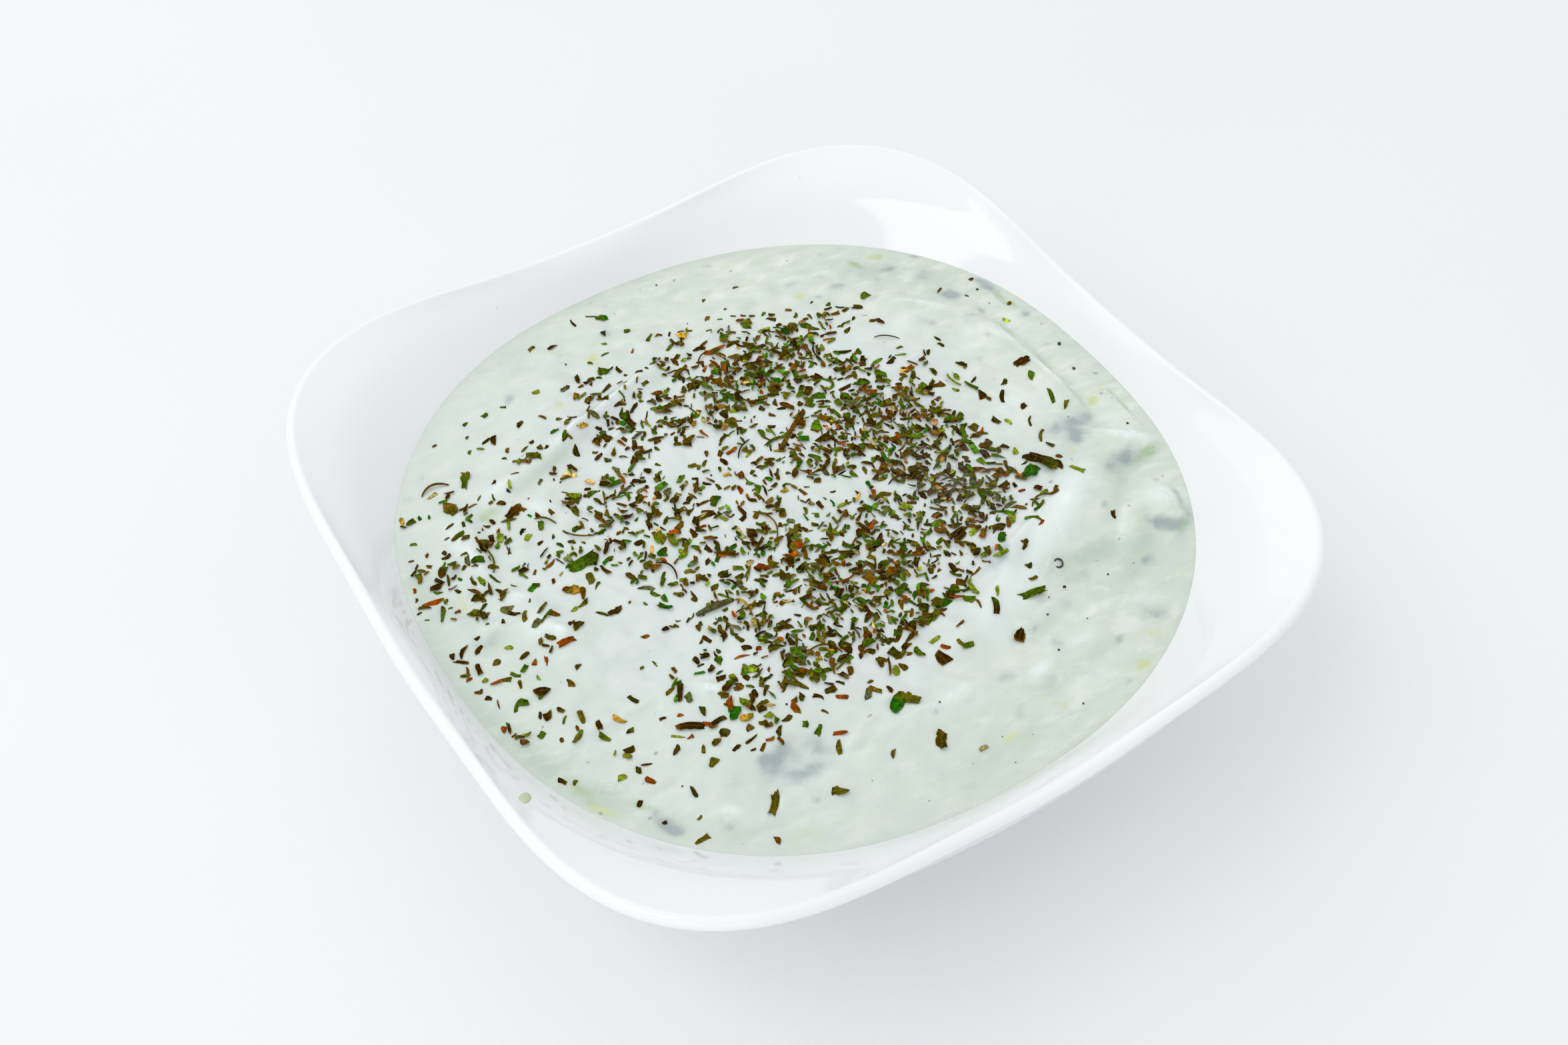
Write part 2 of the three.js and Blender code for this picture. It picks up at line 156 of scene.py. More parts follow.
# The darker colour of the thin patches is partly painted shade: along the wall at the left and
# lower left, the narrow rows from (-54, 12) to (-44, -37); near the wall at the upper right, (40,
# 34) and (47, 28); in the groove beside the fold, the rows at x about 49; and under the cucumber
# slice, (49, -21).
THIN_AND_SHADED_PATCHES = (
    (31.5, -31.6, 6.5, 2.2, -12, 0.85), (38, -34, 4, 1.6, 30, 0.5), (41, -25.5, 4, 1.2, 35, 0.45),
    (25.5, -32.5, 3, 1.2, -30, 0.5), (34, -37, 8, 2.5, 10, 0.45), (49, -21, 4.2, 1, -5, 0.8),
    (44, -22.5, 3, 2, 20, 0.4), (46, -34.6, 3.4, 1, 30, 0.7), (49.4, 12, 0.6, 2.4, 8, 0.7),
    (49.8, 3, 0.6, 4.5, -4, 0.7), (48.9, -6, 0.6, 4, -8, 0.7), (19.5, -37.5, 6, 1.2, 10, 0.4),
    (12, -46, 6, 1, 5, 0.4), (20, -45.6, 5, 1, 8, 0.4), (-3, -50.5, 7, 1.4, -3, 0.35),
    (-50, 0, 3.2, 1.8, -10, 0.5), (-52.5, 12, 2, 8, -8, 0.4), (-36, -44, 6, 2, -35, 0.35),
    (40, 34, 8, 4, -45, 0.3), (47, 28, 5, 3, -50, 0.3), (22, -26.5, 3, 1, 30, 0.4),
    (-26, 25.6, 6, 0.9, 18, 0.6), (-55.6, -4, 1.6, 10, 0, 0.5), (-54.2, -13, 2, 6, 8, 0.5),
    (-52.4, -21.4, 2.4, 5, 20, 0.7), (-49, -29.4, 2.2, 5, 35, 0.65), (-44, -37, 1.8, 4, 45, 0.5),
    (-54, 12, 1.6, 9, -12, 0.3),
)
PATCH_RISE = 0.24

# Wet lumps of grated cucumber that catch the light, in the same form
LUMPS = (
    (-40.9, -2.7, 1.6, 0.9, -40, 1), (-44.6, 14.2, 1.6, 0.9, 85, 1),
    (-27.5, -22.8, 1.6, 0.9, -40, 1), (-36.7, -40.7, 1.5, 0.9, -40, 1),
    (-47.4, -28.4, 1.4, 0.8, -40, 0.9), (-45.3, -29.7, 1.3, 0.8, -30, 0.8),
    (-41.8, 5.2, 1.3, 0.9, -20, 0.7), (-31.4, 18, 1, 1.6, 0, 0.8), (-26, 27.6, 2.4, 0.8, 20, 0.6),
    (51, -17.4, 2.4, 1, -40, 0.9), (45.6, -14, 1.8, 0.8, -30, 0.8), (47, -20.5, 2.4, 0.8, -5, 0.7),
    (46.4, -28.6, 2.4, 1.8, 0, 0.8), (43.8, -32.6, 2.4, 0.9, -20, 0.7),
    (24.4, -29.8, 1.6, 0.9, 30, 0.7), (11.8, -43.4, 2, 0.9, 15, 0.8), (-2, -41.2, 4, 1, -5, 0.6),
    (26, -39.7, 2, 0.8, -5, 0.6), (-22, -37, 4, 2, 0, 0.5), (47, 12, 1.2, 4, 20, 0.5),
    (48.5, 0, 0.9, 5, 0, 0.5),
)

# Bits of cucumber just under the surface, by kind and in the same form. A few rows of the skin
# kind are painted shade: the shadow under the cucumber slice at (47, -19.6) and (47.5, -19.5),
# under a herb at (19.5, -34.4), and along the wall at (53.2, 21.5), (53, 22.5) and (47.5, 37.5).
SUNK_BITS = {
    "skin": (
        (43.5, -12.8, 1.5, 1.3, 0, 0.75), (46.6, -10.3, 2.2, 1, 10, 0.6),
        (42.4, -9.6, 2.6, 1.4, 0, 0.4), (44.6, -11.2, 4.5, 2.8, -20, 0.3),
        (42.4, -31.4, 1.5, 0.8, -55, 0.5), (43.8, -33, 1.7, 1.1, -35, 0.95),
        (46, -34, 1.5, 0.8, 10, 0.6), (48.2, -31.4, 0.7, 2, -15, 0.6),
        (48.8, -28.8, 0.6, 1.2, -5, 0.4), (44.4, -33.4, 3, 1.8, -20, 0.3),
        (19.2, -24.8, 1.8, 1.4, 40, 0.6), (18, -25.4, 3.4, 2.4, 20, 0.28),
        (38, -25.6, 0.9, 0.6, 30, 0.65), (36.9, -36.8, 1.2, 0.9, 0, 0.75),
        (33.6, -37.7, 0.8, 0.6, 20, 0.45), (47, -19.6, 4, 1.4, -8, 0.45),
        (43, -21, 2.4, 1.2, 30, 0.28), (46.7, 23.4, 1.5, 1.1, -40, 0.75),
        (46.6, 23.2, 2.8, 2, -40, 0.3), (46, 16.6, 2.2, 1.8, 0, 0.42),
        (46.4, 29.8, 2.4, 1.6, 0, 0.36), (53.2, 21.5, 1.1, 4, 12, 0.45),
        (47.5, 37.5, 9, 1.3, -52, 0.3), (19.5, -34.4, 2.4, 0.9, -10, 0.32),
        (-26, -38, 5, 3, 0, 0.26), (48.6, 17.8, 0.6, 1.1, 0, 0.5), (32.5, 35.5, 1.6, 1.1, 0, 0.5),
        (42, 34.5, 1.2, 0.9, 0, 0.7), (39, 36.5, 4, 3, -30, 0.24), (43.8, 34, 0.9, 0.7, 0, 0.35),
        (26.4, 40.2, 1.5, 1.2, 0, 0.5), (31.8, 38.6, 1.6, 1.2, 0, 0.34), (54, 13, 1, 0.8, 0, 0.75),
        (53, 22.5, 0.9, 2.2, 15, 0.35), (52.8, 5.4, 2.8, 0.8, -30, 0.35),
        (-25, 41.8, 1.6, 0.9, 50, 0.6), (-29.5, 40.5, 0.9, 0.7, 0, 0.5),
        (-47, 31.8, 0.9, 0.8, 0, 0.5), (-43.4, 34.6, 0.7, 0.6, 0, 0.45),
        (-16.5, 37, 1.2, 1, 0, 0.35), (-49.5, 1.2, 3, 1.6, -10, 0.4), (-47.5, 15, 2, 1.2, 60, 0.45),
        (-35, 1.6, 1.6, 1, 0, 0.2), (-26, -36, 2.6, 1.3, 20, 0.6), (-24.4, -40, 2.8, 1.2, -10, 0.6),
        (-20.6, -37.8, 1.6, 2, 0, 0.35), (-16.5, -40.4, 2.6, 1, -5, 0.25),
        (-28, -35.4, 1.2, 0.8, 20, 0.45), (-43.6, -37.4, 1.2, 2, 10, 0.55),
        (-43.9, -36.8, 0.7, 0.6, 0, 0.9), (-43.2, -38.5, 0.8, 0.7, 0, 1),
        (-44, -34.8, 1, 0.8, 0, 0.5), (-37.6, -41.8, 0.7, 0.6, 0, 0.6),
        (-25.8, -44.3, 0.6, 0.8, 0, 0.6), (-22, -46.6, 1.3, 1, 0, 0.25),
        (-5, -41.8, 0.5, 0.5, 0, 0.5), (7, -42, 1.6, 0.9, 0, 0.45), (5.4, -47.4, 2, 1.2, 40, 0.3),
        (16.2, -41.2, 1.6, 1.2, 60, 0.4), (24.2, -45.2, 1, 0.6, 15, 0.75),
        (31.6, -44.6, 2.4, 1.4, -20, 0.5), (15.5, -37.6, 1, 0.5, 20, 0.5),
        (22, -36.5, 1.2, 0.9, 30, 0.3), (27.5, -33.5, 2.2, 1.6, -30, 0.3),
        (43.5, -23, 1.6, 1, 20, 0.25), (47.8, -25.8, 0.6, 0.5, 0, 0.5),
        (47.5, -19.5, 3, 1.4, 10, 0.35), (-5, 46.5, 0.9, 0.8, 0, 0.6), (-2, 52.5, 1, 0.7, 0, 0.3),
        (14, 46.5, 1.2, 0.9, 0, 0.3), (45.6, 12.1, 0.7, 0.5, -34, 0.6),
        (47.7, 34.6, 1, 0.6, -34, 0.6), (39.7, 19.6, 1.6, 1, -34, 0.4),
        (35.6, 29.3, 1.4, 1.2, -34, 0.35), (17.8, 52, 1.2, 0.6, -34, 0.45),
        (39.9, 27.7, 0.8, 0.6, -34, 0.45), (28.3, 35.1, 0.8, 0.5, -34, 0.7),
        (55.7, 23.1, 1.6, 0.6, -34, 0.4), (35, 44, 0.9, 0.8, 0, 0.35),
    ),
    "flesh": (
        (38, 38.3, 1, 1.5, 10, 0.65), (42.2, 38, 1.9, 1.1, -25, 0.42), (54, -11, 0.5, 7, -3, 0.4),
        (53.3, 17.4, 1, 3, 12, 0.55), (38.8, 33, 1.4, 0.8, 40, 0.35), (41.6, 9, 0.8, 0.6, 20, 0.5),
        (-38.5, 21.8, 2.2, 1.4, 30, 0.6), (-40.2, 8.2, 1, 0.8, 0, 0.25),
        (-50.4, -27, 1.2, 3.4, 10, 0.45), (-45, -33, 1.2, 2.2, 40, 0.35),
        (50.6, -20.6, 2.8, 1, 4, 0.6), (45.8, -34.6, 2, 0.7, 25, 0.5), (2, -21.5, 1.8, 1.2, 0, 0.3),
        (-8, -53, 1.6, 1, 0, 0.3), (21, -51.2, 1, 0.7, 0, 0.35),
    ),
    "straw": (
        (26, 36.6, 1.2, 0.7, 20, 0.7), (42, 38.3, 1.4, 0.8, -20, 0.5),
        (50.6, -8, 1.4, 0.9, 20, 0.7), (53.6, -6.6, 1.6, 0.8, 60, 0.45),
        (41, -14.4, 1.4, 1, 30, 0.5), (-49, 9.6, 0.7, 2.6, -10, 0.5), (-19, 35.7, 1.2, 1.2, 0, 0.5),
        (-9.8, 42.2, 1.8, 2, 0, 0.5), (1.6, -49.8, 1.6, 0.8, 5, 0.6),
        (29.4, -46.9, 1.4, 1, -20, 0.55), (24.6, -50.2, 1.6, 0.7, -10, 0.7),
        (10.6, -49, 1, 1.4, 50, 0.5), (-49.4, -31, 0.6, 2.4, 40, 0.6),
        (-37.4, -37.2, 1, 0.7, 0, 0.3), (18, 19, 2, 1, 20, 0.3), (17, -37.9, 1.6, 0.5, 5, 0.4),
    ),
}

# ---- Herbs -------------------------------------------------------------------------------

# The large pieces, which the dip's solid carries too, by the same numbers as there
LARGE_COUNT = 200
LARGE_LENGTH = (3.1, 1.7)  # of the first and the last
LARGE_WIDTH = (0.35, 0.75)  # as a share of the length
LARGE_SEED = 20
LARGE_SQUARE = 112  # side of the square that they are tried in
LARGE_APART = 0.55  # share of the two lengths' sum that they keep between them
LARGE_REACH = 54.5  # radius that they keep within
LARGE_SCALE = 0.8

SMALL_COUNT = 3700
SMALL_PLACES, SMALL_REACH = 160_000, 56.5  # places tried, and their largest x and y
SMALL_SPACING = 0.78  # side of the squares that hold one small piece each
SMALL_TO_WALL = 0.985  # share of the way to the wall that they keep within
FULL_COVER = 0.95  # the share hidden at which every place is taken
SMALL_LENGTH, SMALL_SPREAD, SMALL_LENGTHS = 1.05, 0.32, (0.5, 2.4)  # median, log spread, limits
NARROW_SHARE, NARROW_STRETCH = 0.25, 1.35  # how many are narrow, and how much longer those are
NARROW_WIDTH, BROAD_WIDTH = (0.18, 0.32), (0.40, 0.76)  # as a share of the length
LONE_SCALE = (0.98, 1.06)  # on the length and the width of the lone pieces

PILE_CELL, PILE_HALF = 0.5, 60  # squares of the map of heights, and half its side
PILE_REACH = 0.3  # share of a piece's mean size that lifts those above it
PILE_SHARE = 0.75  # how much of the height below lifts a piece
PILE_STEP, PILE_TOP = (0.08, 0.20), 0.7  # what a piece adds, and the most that one is lifted

# Forms of the leaves: a range, or the spread of a normal law, as a share of the length or size
LEAF_ENDS = (0.25, 1.05)  # width of an end
LEAF_BULGE = (0, 0.9)
LEAF_SLANT = 0.25
LEAF_TORN = 0.105
LEAF_ROUNDED = (0, 0.2)
LEAF_SHIFT = 0.05
LEAF_CURL, LEAF_TWIST, LEAF_FOLD, LEAF_CREASES = 0.06, 0.08, (-0.06, 0.16), 0.02
LEAF_TILTS = (9, 5)  # across and along
LEAF_GAP = 0.05  # height over what lies below
LEAF_RELIEF = 0.7  # share of the form's height that shows
LEAF_THICKNESS = (0.09, 0.18)
# Logarithmic spreads of a piece's lightness, of its channels, and of its points' lightness
TINT_SPREADS = (0.32, 0.08, 0.16)
SECOND_TINT = (0, 0.75)  # share of another tint at the far end

GRAIN_COUNT = 52
GRAIN_SIZE, GRAIN_SPREAD, GRAIN_SIZES = 0.15, 0.4, (0.08, 0.36)  # median, log spread, limits
GRAIN_SQUARE, GRAIN_TO_WALL = 55, 0.97  # largest x and y tried, and share of the way to the wall
GRAIN_HEIGHT = 0.15  # of its middle over the dip, as a share of its size

# Colours of the dried leaves, with the share of the pieces that have them
HERB_COLOURS = {
    "dark olive": ((0.042, 0.034, 0.001), 0.18),
    "olive": ((0.092, 0.082, 0.004), 0.16),
    "grey olive": ((0.095, 0.108, 0.040), 0.06),
    "umber": ((0.034, 0.014, 0.001), 0.18),
    "brown": ((0.105, 0.044, 0.002), 0.12),
    "tan": ((0.170, 0.085, 0.008), 0.03),
    "green": ((0.046, 0.108, 0.003), 0.17),
    "fresh green": ((0.056, 0.175, 0.005), 0.055),
    "bright green": ((0.010, 0.125, 0.002), 0.04),
    "lime": ((0.195, 0.260, 0.014), 0.04),
    "rust": ((0.240, 0.044, 0.002), 0.04),
    "amber": ((0.500, 0.280, 0.030), 0.008),
    "straw": ((0.520, 0.400, 0.160), 0.010),
    "stem": ((0.078, 0.084, 0.040), 0.0),
}

# Pieces that stand out: middle x and y, length, width, azimuth of the length, colour
NOTABLE_HERBS = (
    (-20, -10.4, 6, 1.2, 0, "grey olive"), (9, 12.4, 7, 0.9, 32, "brown"),
    (36, -14, 4.4, 3, -62, "umber"), (32.8, -14.8, 3.2, 2.6, 20, "bright green"),
    (46.2, 4.1, 2.6, 1.4, -15, "umber"), (-8, -37.7, 3.6, 2, 25, "bright green"),
    (19, -33, 4.2, 1.3, -8, "green"), (-27.7, -27.6, 2.4, 1.8, 40, "bright green"),
    (-33.5, -26.2, 3.6, 1.2, -30, "umber"), (-31.5, 6, 4.6, 2.6, 5, "green"),
    (-38.5, 30, 3, 2.4, 60, "green"), (-35.3, 20.2, 3, 1.8, 8, "umber"),
    (-42.8, 25.8, 2.8, 2.2, 80, "olive"), (-12, 27.5, 3.6, 1.1, 78, "umber"),
    (13, -37.3, 2.4, 1.6, 40, "umber"), (-30.5, -41.8, 3.8, 1, 50, "olive"),
    (-22.5, -44.8, 2.2, 1.5, -30, "olive"), (-6.8, -45.6, 2.4, 1.7, 50, "dark olive"),
)

# Smaller pieces that lie apart at the rim of the herb field, in the same form
LONE_HERBS = (
    (33.6, 10.7, 1.8, 1.1, 80, "dark olive"), (38.1, 9.9, 1.2, 0.8, -60, "olive"),
    (38.7, 8.9, 1.2, 0.9, 40, "olive"), (36.2, 7.9, 1.6, 0.8, 70, "lime"),
    (36.9, 4.7, 3, 0.8, 100, "green"), (36.9, 2.4, 2, 1.2, 80, "umber"),
    (37.4, 1.2, 1, 0.4, 110, "dark olive"), (41.7, 2.6, 1.2, 0.8, 40, "dark olive"),
    (39.2, 0.3, 2.3, 0.7, 50, "umber"), (45.4, 1, 1.6, 0.8, 50, "fresh green"),
    (40.6, -3.3, 1.1, 0.8, 10, "umber"), (35.2, -3.4, 1.8, 1.1, 100, "dark olive"),
    (31.7, -2.5, 1.5, 1.4, 20, "olive"), (31.9, -4, 1.9, 0.8, 30, "rust"),
    (45.4, -4.2, 2.6, 0.6, 70, "green"), (46.1, -6.9, 1.6, 0.7, 40, "olive"),
    (39.2, -6.4, 2.3, 0.4, 52, "dark olive"), (38.9, -9.6, 2.7, 0.6, 45, "olive"),
    (39, -11.9, 1.5, 0.7, 110, "dark olive"), (31.5, -6.2, 1.4, 0.8, 80, "umber"),
    (30.8, -7.9, 1.9, 0.9, -60, "green"), (31.7, -8.6, 1.3, 0.5, 60, "brown"),
    (32.7, -8.7, 1.4, 0.6, -70, "dark olive"), (33.6, -10.2, 1.3, 0.7, 60, "lime"),
    (34.2, 5.6, 1.3, 0.5, -60, "lime"), (32.4, 7.6, 2.2, 1.2, -10, "brown"),
    (31.8, 8.6, 1.8, 0.8, 30, "dark olive"), (38.4, -14.6, 1, 0.6, -30, "brown"),
    (39.2, -18.1, 2.5, 0.7, -65, "lime"), (33.3, -12.9, 1.5, 0.4, 15, "umber"),
    (31.6, -18, 1.3, 1, -60, "umber"), (31.8, -19.2, 1.6, 0.5, 0, "lime"),
    (33.7, -19.5, 1.4, 0.6, 30, "olive"), (32.7, -20.2, 2.2, 0.5, -5, "brown"),
    (29.6, -19.6, 1.2, 0.4, -30, "brown"), (29.2, -21.3, 2.9, 0.5, 18, "green"),
    (26.7, -22.6, 2.2, 0.9, -45, "fresh green"), (27.2, -24.2, 1.3, 0.5, 25, "rust"),
    (22.7, -26, 1.9, 0.6, 35, "dark olive"), (21.2, -28.8, 1.1, 0.8, -30, "dark olive"),
    (20.6, -30.8, 1.4, 0.7, -5, "olive"), (17.8, -23.7, 1.7, 0.8, 80, "brown"),
    (19.4, -24.4, 1.6, 0.6, 65, "green"), (18.8, -25.4, 2.3, 0.6, -10, "lime"),
    (14.2, -25.6, 2, 0.5, 10, "tan"), (11.6, -25.6, 1.7, 1.2, -60, "brown"),
    (10.2, -26, 1.9, 1.2, 60, "olive"), (8.8, -26.5, 1.4, 1, 30, "umber"),
    (10.6, -28.8, 1.7, 1, -60, "fresh green"), (11.1, -30.3, 1.9, 0.5, 80, "brown"),
    (14.4, -30.2, 1.8, 0.7, 60, "lime"), (12.7, -32.3, 2.4, 1, 55, "umber"),
    (24.8, -20.5, 2.6, 1.1, 60, "lime"), (27, -19.5, 2.1, 0.9, -60, "olive"),
    (23.6, -21, 2, 0.6, 60, "brown"), (21.9, -20.9, 2, 1.1, -30, "dark olive"),
    (38, -27.6, 1.2, 0.6, 60, "umber"), (5.9, -28.3, 1.9, 0.6, 95, "brown"),
    (3.8, -28.7, 1.6, 1, 15, "fresh green"), (2.8, -28.3, 1.3, 0.6, -20, "brown"),
    (1.1, -28.2, 2, 1.2, 50, "umber"), (-0.2, -29.6, 2.6, 0.6, 20, "dark olive"),
    (-1.6, -30.4, 1.6, 0.8, 20, "umber"), (-1.2, -28.4, 3, 0.8, 45, "dark olive"),
    (7.2, -27.2, 2.4, 1.3, 0, "bright green"), (9, -26.6, 1.6, 1.2, 40, "umber"),
    (2.4, -31.8, 1.8, 0.7, 5, "lime"), (6.8, -31.7, 1.7, 0.7, 10, "rust"),
    (-1.8, -31.8, 0.9, 0.6, -20, "brown"), (-0.8, -32.4, 2, 1, -70, "green"),
    (-5.2, -33.2, 1.3, 1.2, 20, "lime"), (-4, -33.1, 1.3, 0.8, -60, "brown"),
    (-5.6, -32.3, 3.2, 0.35, 60, "brown"), (-6.2, -31.1, 1.4, 1.2, 80, "dark olive"),
    (-3.6, -30.6, 1.6, 1.2, -70, "dark olive"), (-10.5, -30, 1.6, 0.8, 60, "brown"),
    (-9.2, -32.8, 0.9, 0.6, 10, "olive"), (-9.5, -34.3, 2.2, 0.7, -58, "tan"),
    (-7.8, -35.3, 1.4, 0.9, -85, "umber"), (1.3, -34.9, 2.2, 1.8, -80, "umber"),
    (2.7, -33.8, 1.4, 0.7, -60, "rust"), (5.4, -35.3, 2, 0.9, -5, "green"),
    (-6.2, -38.7, 1.9, 1.4, -50, "olive"), (-44.9, -27.9, 1.1, 0.9, 0, "lime"),
    (-42.6, -28.1, 0.9, 0.8, 60, "dark olive"), (-41.2, -27.9, 1.4, 0.4, -20, "umber"),
    (-36.9, -28.3, 1.7, 1.3, 40, "dark olive"), (-34.3, -27.7, 0.9, 0.6, 20, "rust"),
    (-42.2, -30.3, 1.7, 0.9, -65, "rust"), (-45, -32.6, 1.1, 0.7, 40, "umber"),
    (-42.1, -24.9, 1.5, 0.9, -10, "umber"), (-42.7, -25.5, 1.2, 0.7, -60, "lime"),
    (-43.8, -24.2, 0.9, 0.4, 45, "lime"), (-35.8, -22.9, 1, 0.5, -15, "umber"),
    (-33.7, -23.8, 0.8, 0.6, 0, "rust"), (-35.7, -26.6, 1.8, 0.5, -40, "lime"),
    (-31.6, -27.2, 1.5, 0.8, -50, "rust"), (-30.1, -27.6, 2.2, 0.9, 0, "umber"),
    (-31.2, -28.2, 1.2, 0.5, -20, "dark olive"), (-30.9, -25.1, 1.8, 0.8, 75, "dark olive"),
    (-27.4, -26, 1.9, 1.5, 60, "rust"), (-26.7, -29.2, 1.8, 1.2, -20, "amber"),
    (-24.3, -29.1, 1.3, 1, 0, "umber"), (-23.3, -29, 1.7, 0.4, -60, "straw"),
    (-25.9, -23.4, 2.3, 1.1, 30, "umber"), (-23.3, -23.7, 1.1, 0.7, -60, "dark olive"),
    (-21.8, -24.3, 2.1, 0.5, 10, "olive"), (-22.2, -26.8, 1.5, 0.7, 40, "green"),
    (-22, -25.6, 1.6, 0.7, 60, "olive"), (-23.8, -26.6, 1.6, 1.2, 60, "umber"),
    (-19.3, -27.2, 1.5, 1, 30, "olive"), (-18.2, -26.6, 1.8, 0.8, 80, "green"),
    (-16.7, -26.3, 2.3, 0.9, -70, "green"), (-17.1, -24.5, 2.2, 1, 20, "dark olive"),
    (-15.5, -25.2, 1.6, 1.1, -50, "grey olive"), (-17.8, -28.7, 2.3, 0.7, -65, "olive"),
    (-15, -28.3, 2, 1, 70, "olive"), (-13.4, -28.3, 1.8, 0.7, -20, "green"),
    (-12.2, -28, 2.9, 0.7, 60, "tan"), (-34, -30.2, 1.2, 0.6, 55, "olive"),
    (-32.1, -30.2, 1.2, 0.9, 30, "dark olive"), (-30.5, -29.7, 1.5, 1.2, 20, "dark olive"),
    (-34.1, -32.7, 1.6, 1, 25, "olive"), (-30.3, -32.4, 1.3, 0.6, 10, "umber"),
    (-27.9, -32.4, 2.3, 0.7, 12, "umber"), (-27.3, -30.7, 1.1, 0.8, 20, "brown"),
    (-28.6, -33.7, 0.8, 0.4, -10, "umber"), (-27.3, -34.1, 1.2, 0.5, 35, "brown"),
    (-25.9, -33.8, 1.3, 0.7, -10, "rust"), (-24.8, -34.6, 1.2, 0.8, -80, "brown"),
    (-25.4, -31.1, 1.2, 0.8, -20, "olive"), (-24.9, -31.8, 1.3, 0.7, -10, "umber"),
    (-24.1, -30.7, 1.2, 0.8, 0, "lime"), (-23.7, -31.8, 1, 0.7, 40, "green"),
    (-24.2, -33.2, 2, 0.8, 50, "dark olive"), (-22.1, -32.2, 1.5, 1, 20, "dark olive"),
    (-20.4, -31.4, 2.1, 0.8, -80, "rust"), (-19.8, -30.4, 0.9, 0.7, 0, "brown"),
    (-18.8, -30.5, 1.1, 0.8, 60, "dark olive"), (-20.6, -34.1, 1, 0.9, 60, "green"),
    (-19.5, -35.6, 1.9, 0.9, 38, "green"), (-17.3, -37.3, 2.1, 0.6, -25, "rust"),
    (-18.7, -38.9, 2.2, 1, 62, "olive"), (-16.6, -31.4, 1.6, 0.8, -45, "umber"),
    (-14.7, -31.2, 1.9, 1, 0, "dark olive"), (-14.3, -30.3, 1.3, 0.8, -50, "umber"),
    (-12.9, -30.9, 1.3, 0.5, -50, "umber"), (-11.8, -30.3, 1.5, 0.9, -70, "umber"),
    (-14, -33, 1.8, 0.6, -35, "rust"), (-17.2, -33.7, 1.1, 0.5, -60, "brown"),
    (-13.4, -43.8, 1.4, 0.6, 50, "olive"), (-33.2, -46.6, 1.1, 0.8, 80, "brown"),
    (-38.4, -34.9, 1.8, 0.6, 85, "dark olive"), (-39.8, -38.7, 0.8, 0.4, 20, "olive"),
    (-41.1, -41.4, 1.8, 1, 5, "olive"), (-43.8, -36.8, 0.6, 0.5, 0, "umber"),
    (-36, 3.2, 1, 0.8, -40, "brown"), (-34.4, 1.2, 2.2, 0.8, 62, "brown"),
    (-32.1, 1.4, 1.8, 0.7, 42, "dark olive"), (-36.8, -0.7, 1.2, 0.7, 20, "lime"),
    (-35.3, -0.4, 1.7, 0.7, 5, "olive"), (-40.6, 1.6, 2.5, 0.9, 35, "olive"),
    (-40.8, -0.4, 2.5, 0.5, 28, "green"), (-44.3, 3, 2.2, 0.7, -45, "umber"),
    (-43.3, 1.8, 1.7, 0.8, 60, "olive"), (-46.1, 2.7, 0.7, 0.5, 60, "dark olive"),
    (-50.3, 2.3, 0.8, 0.5, 10, "umber"), (-51.1, 0.5, 1.7, 0.8, 35, "umber"),
    (-53.2, 1.3, 2.1, 1, 50, "umber"), (-54.6, 1.4, 1.1, 0.8, 70, "umber"),
    (-54, -0.1, 2.3, 0.6, -40, "umber"), (-54.6, -2.5, 1.4, 0.6, -30, "olive"),
    (-54.4, -3.3, 0.9, 0.7, 0, "rust"), (-53.9, -2, 1.2, 0.4, 70, "brown"),
    (-52.6, -2.6, 1.9, 0.9, 80, "umber"), (-50.1, -2.9, 1.2, 0.9, 0, "olive"),
    (-47.5, -1.6, 1.1, 0.8, -10, "lime"), (-46.4, -4, 1.6, 0.8, 25, "dark olive"),
    (-43.5, -3.3, 1.1, 0.7, 50, "olive"), (-43.3, -4.4, 1.2, 0.5, -45, "umber"),
    (-43, -5.4, 1.3, 0.6, 40, "umber"), (-44.3, -6.6, 1.6, 0.5, 70, "rust"),
    (-40.6, -5.4, 2.5, 0.9, -5, "rust"), (-38.4, -2.9, 1.3, 0.7, 15, "umber"),
    (-37.9, -4, 1.8, 1, 0, "dark olive"), (-52.7, -4.7, 0.9, 0.8, 20, "lime"),
    (-54.3, -5.9, 1.2, 0.8, -20, "brown"), (-51.6, -5.9, 1.8, 0.6, -12, "rust"),
    (-50.3, -6.3, 1.3, 0.8, -25, "olive"), (-48.9, -6.2, 1.5, 0.7, -50, "green"),
    (-47.4, -5.9, 1.4, 0.7, 35, "bright green"), (-45.7, -5.7, 1, 0.6, 50, "rust"),
    (-49.1, -7.9, 1.5, 0.5, 75, "brown"), (-46.6, -8.3, 1, 0.4, 85, "lime"),
    (-53.6, -7.5, 0.9, 0.8, -50, "umber"), (-53, -9.1, 1.6, 0.4, 75, "olive"),
    (-51.3, -10.9, 1.9, 0.6, 50, "green"), (-50.2, -10.8, 1.7, 0.9, -30, "green"),
    (-47.3, -10.5, 2.1, 1.7, -30, "umber"), (-47.6, -11.3, 1.3, 0.5, 10, "green"),
    (-41.3, -9.6, 1.1, 0.9, 40, "dark olive"), (-43.3, -11.4, 1.4, 0.8, 85, "brown"),
    (-54.2, -13, 0.9, 0.7, 40, "rust"), (-53.6, -13.3, 1.7, 0.7, 75, "umber"),
    (-53.6, -14.7, 0.8, 0.5, 10, "brown"), (-53.2, -15.4, 1.4, 0.7, -20, "olive"),
    (-52.2, -15.6, 1.3, 0.5, -15, "lime"), (-52.9, -16.6, 1.2, 0.9, -30, "brown"),
    (-50.5, -16.5, 1.1, 0.8, 20, "green"), (-49.2, -13.8, 1.1, 0.4, 55, "umber"),
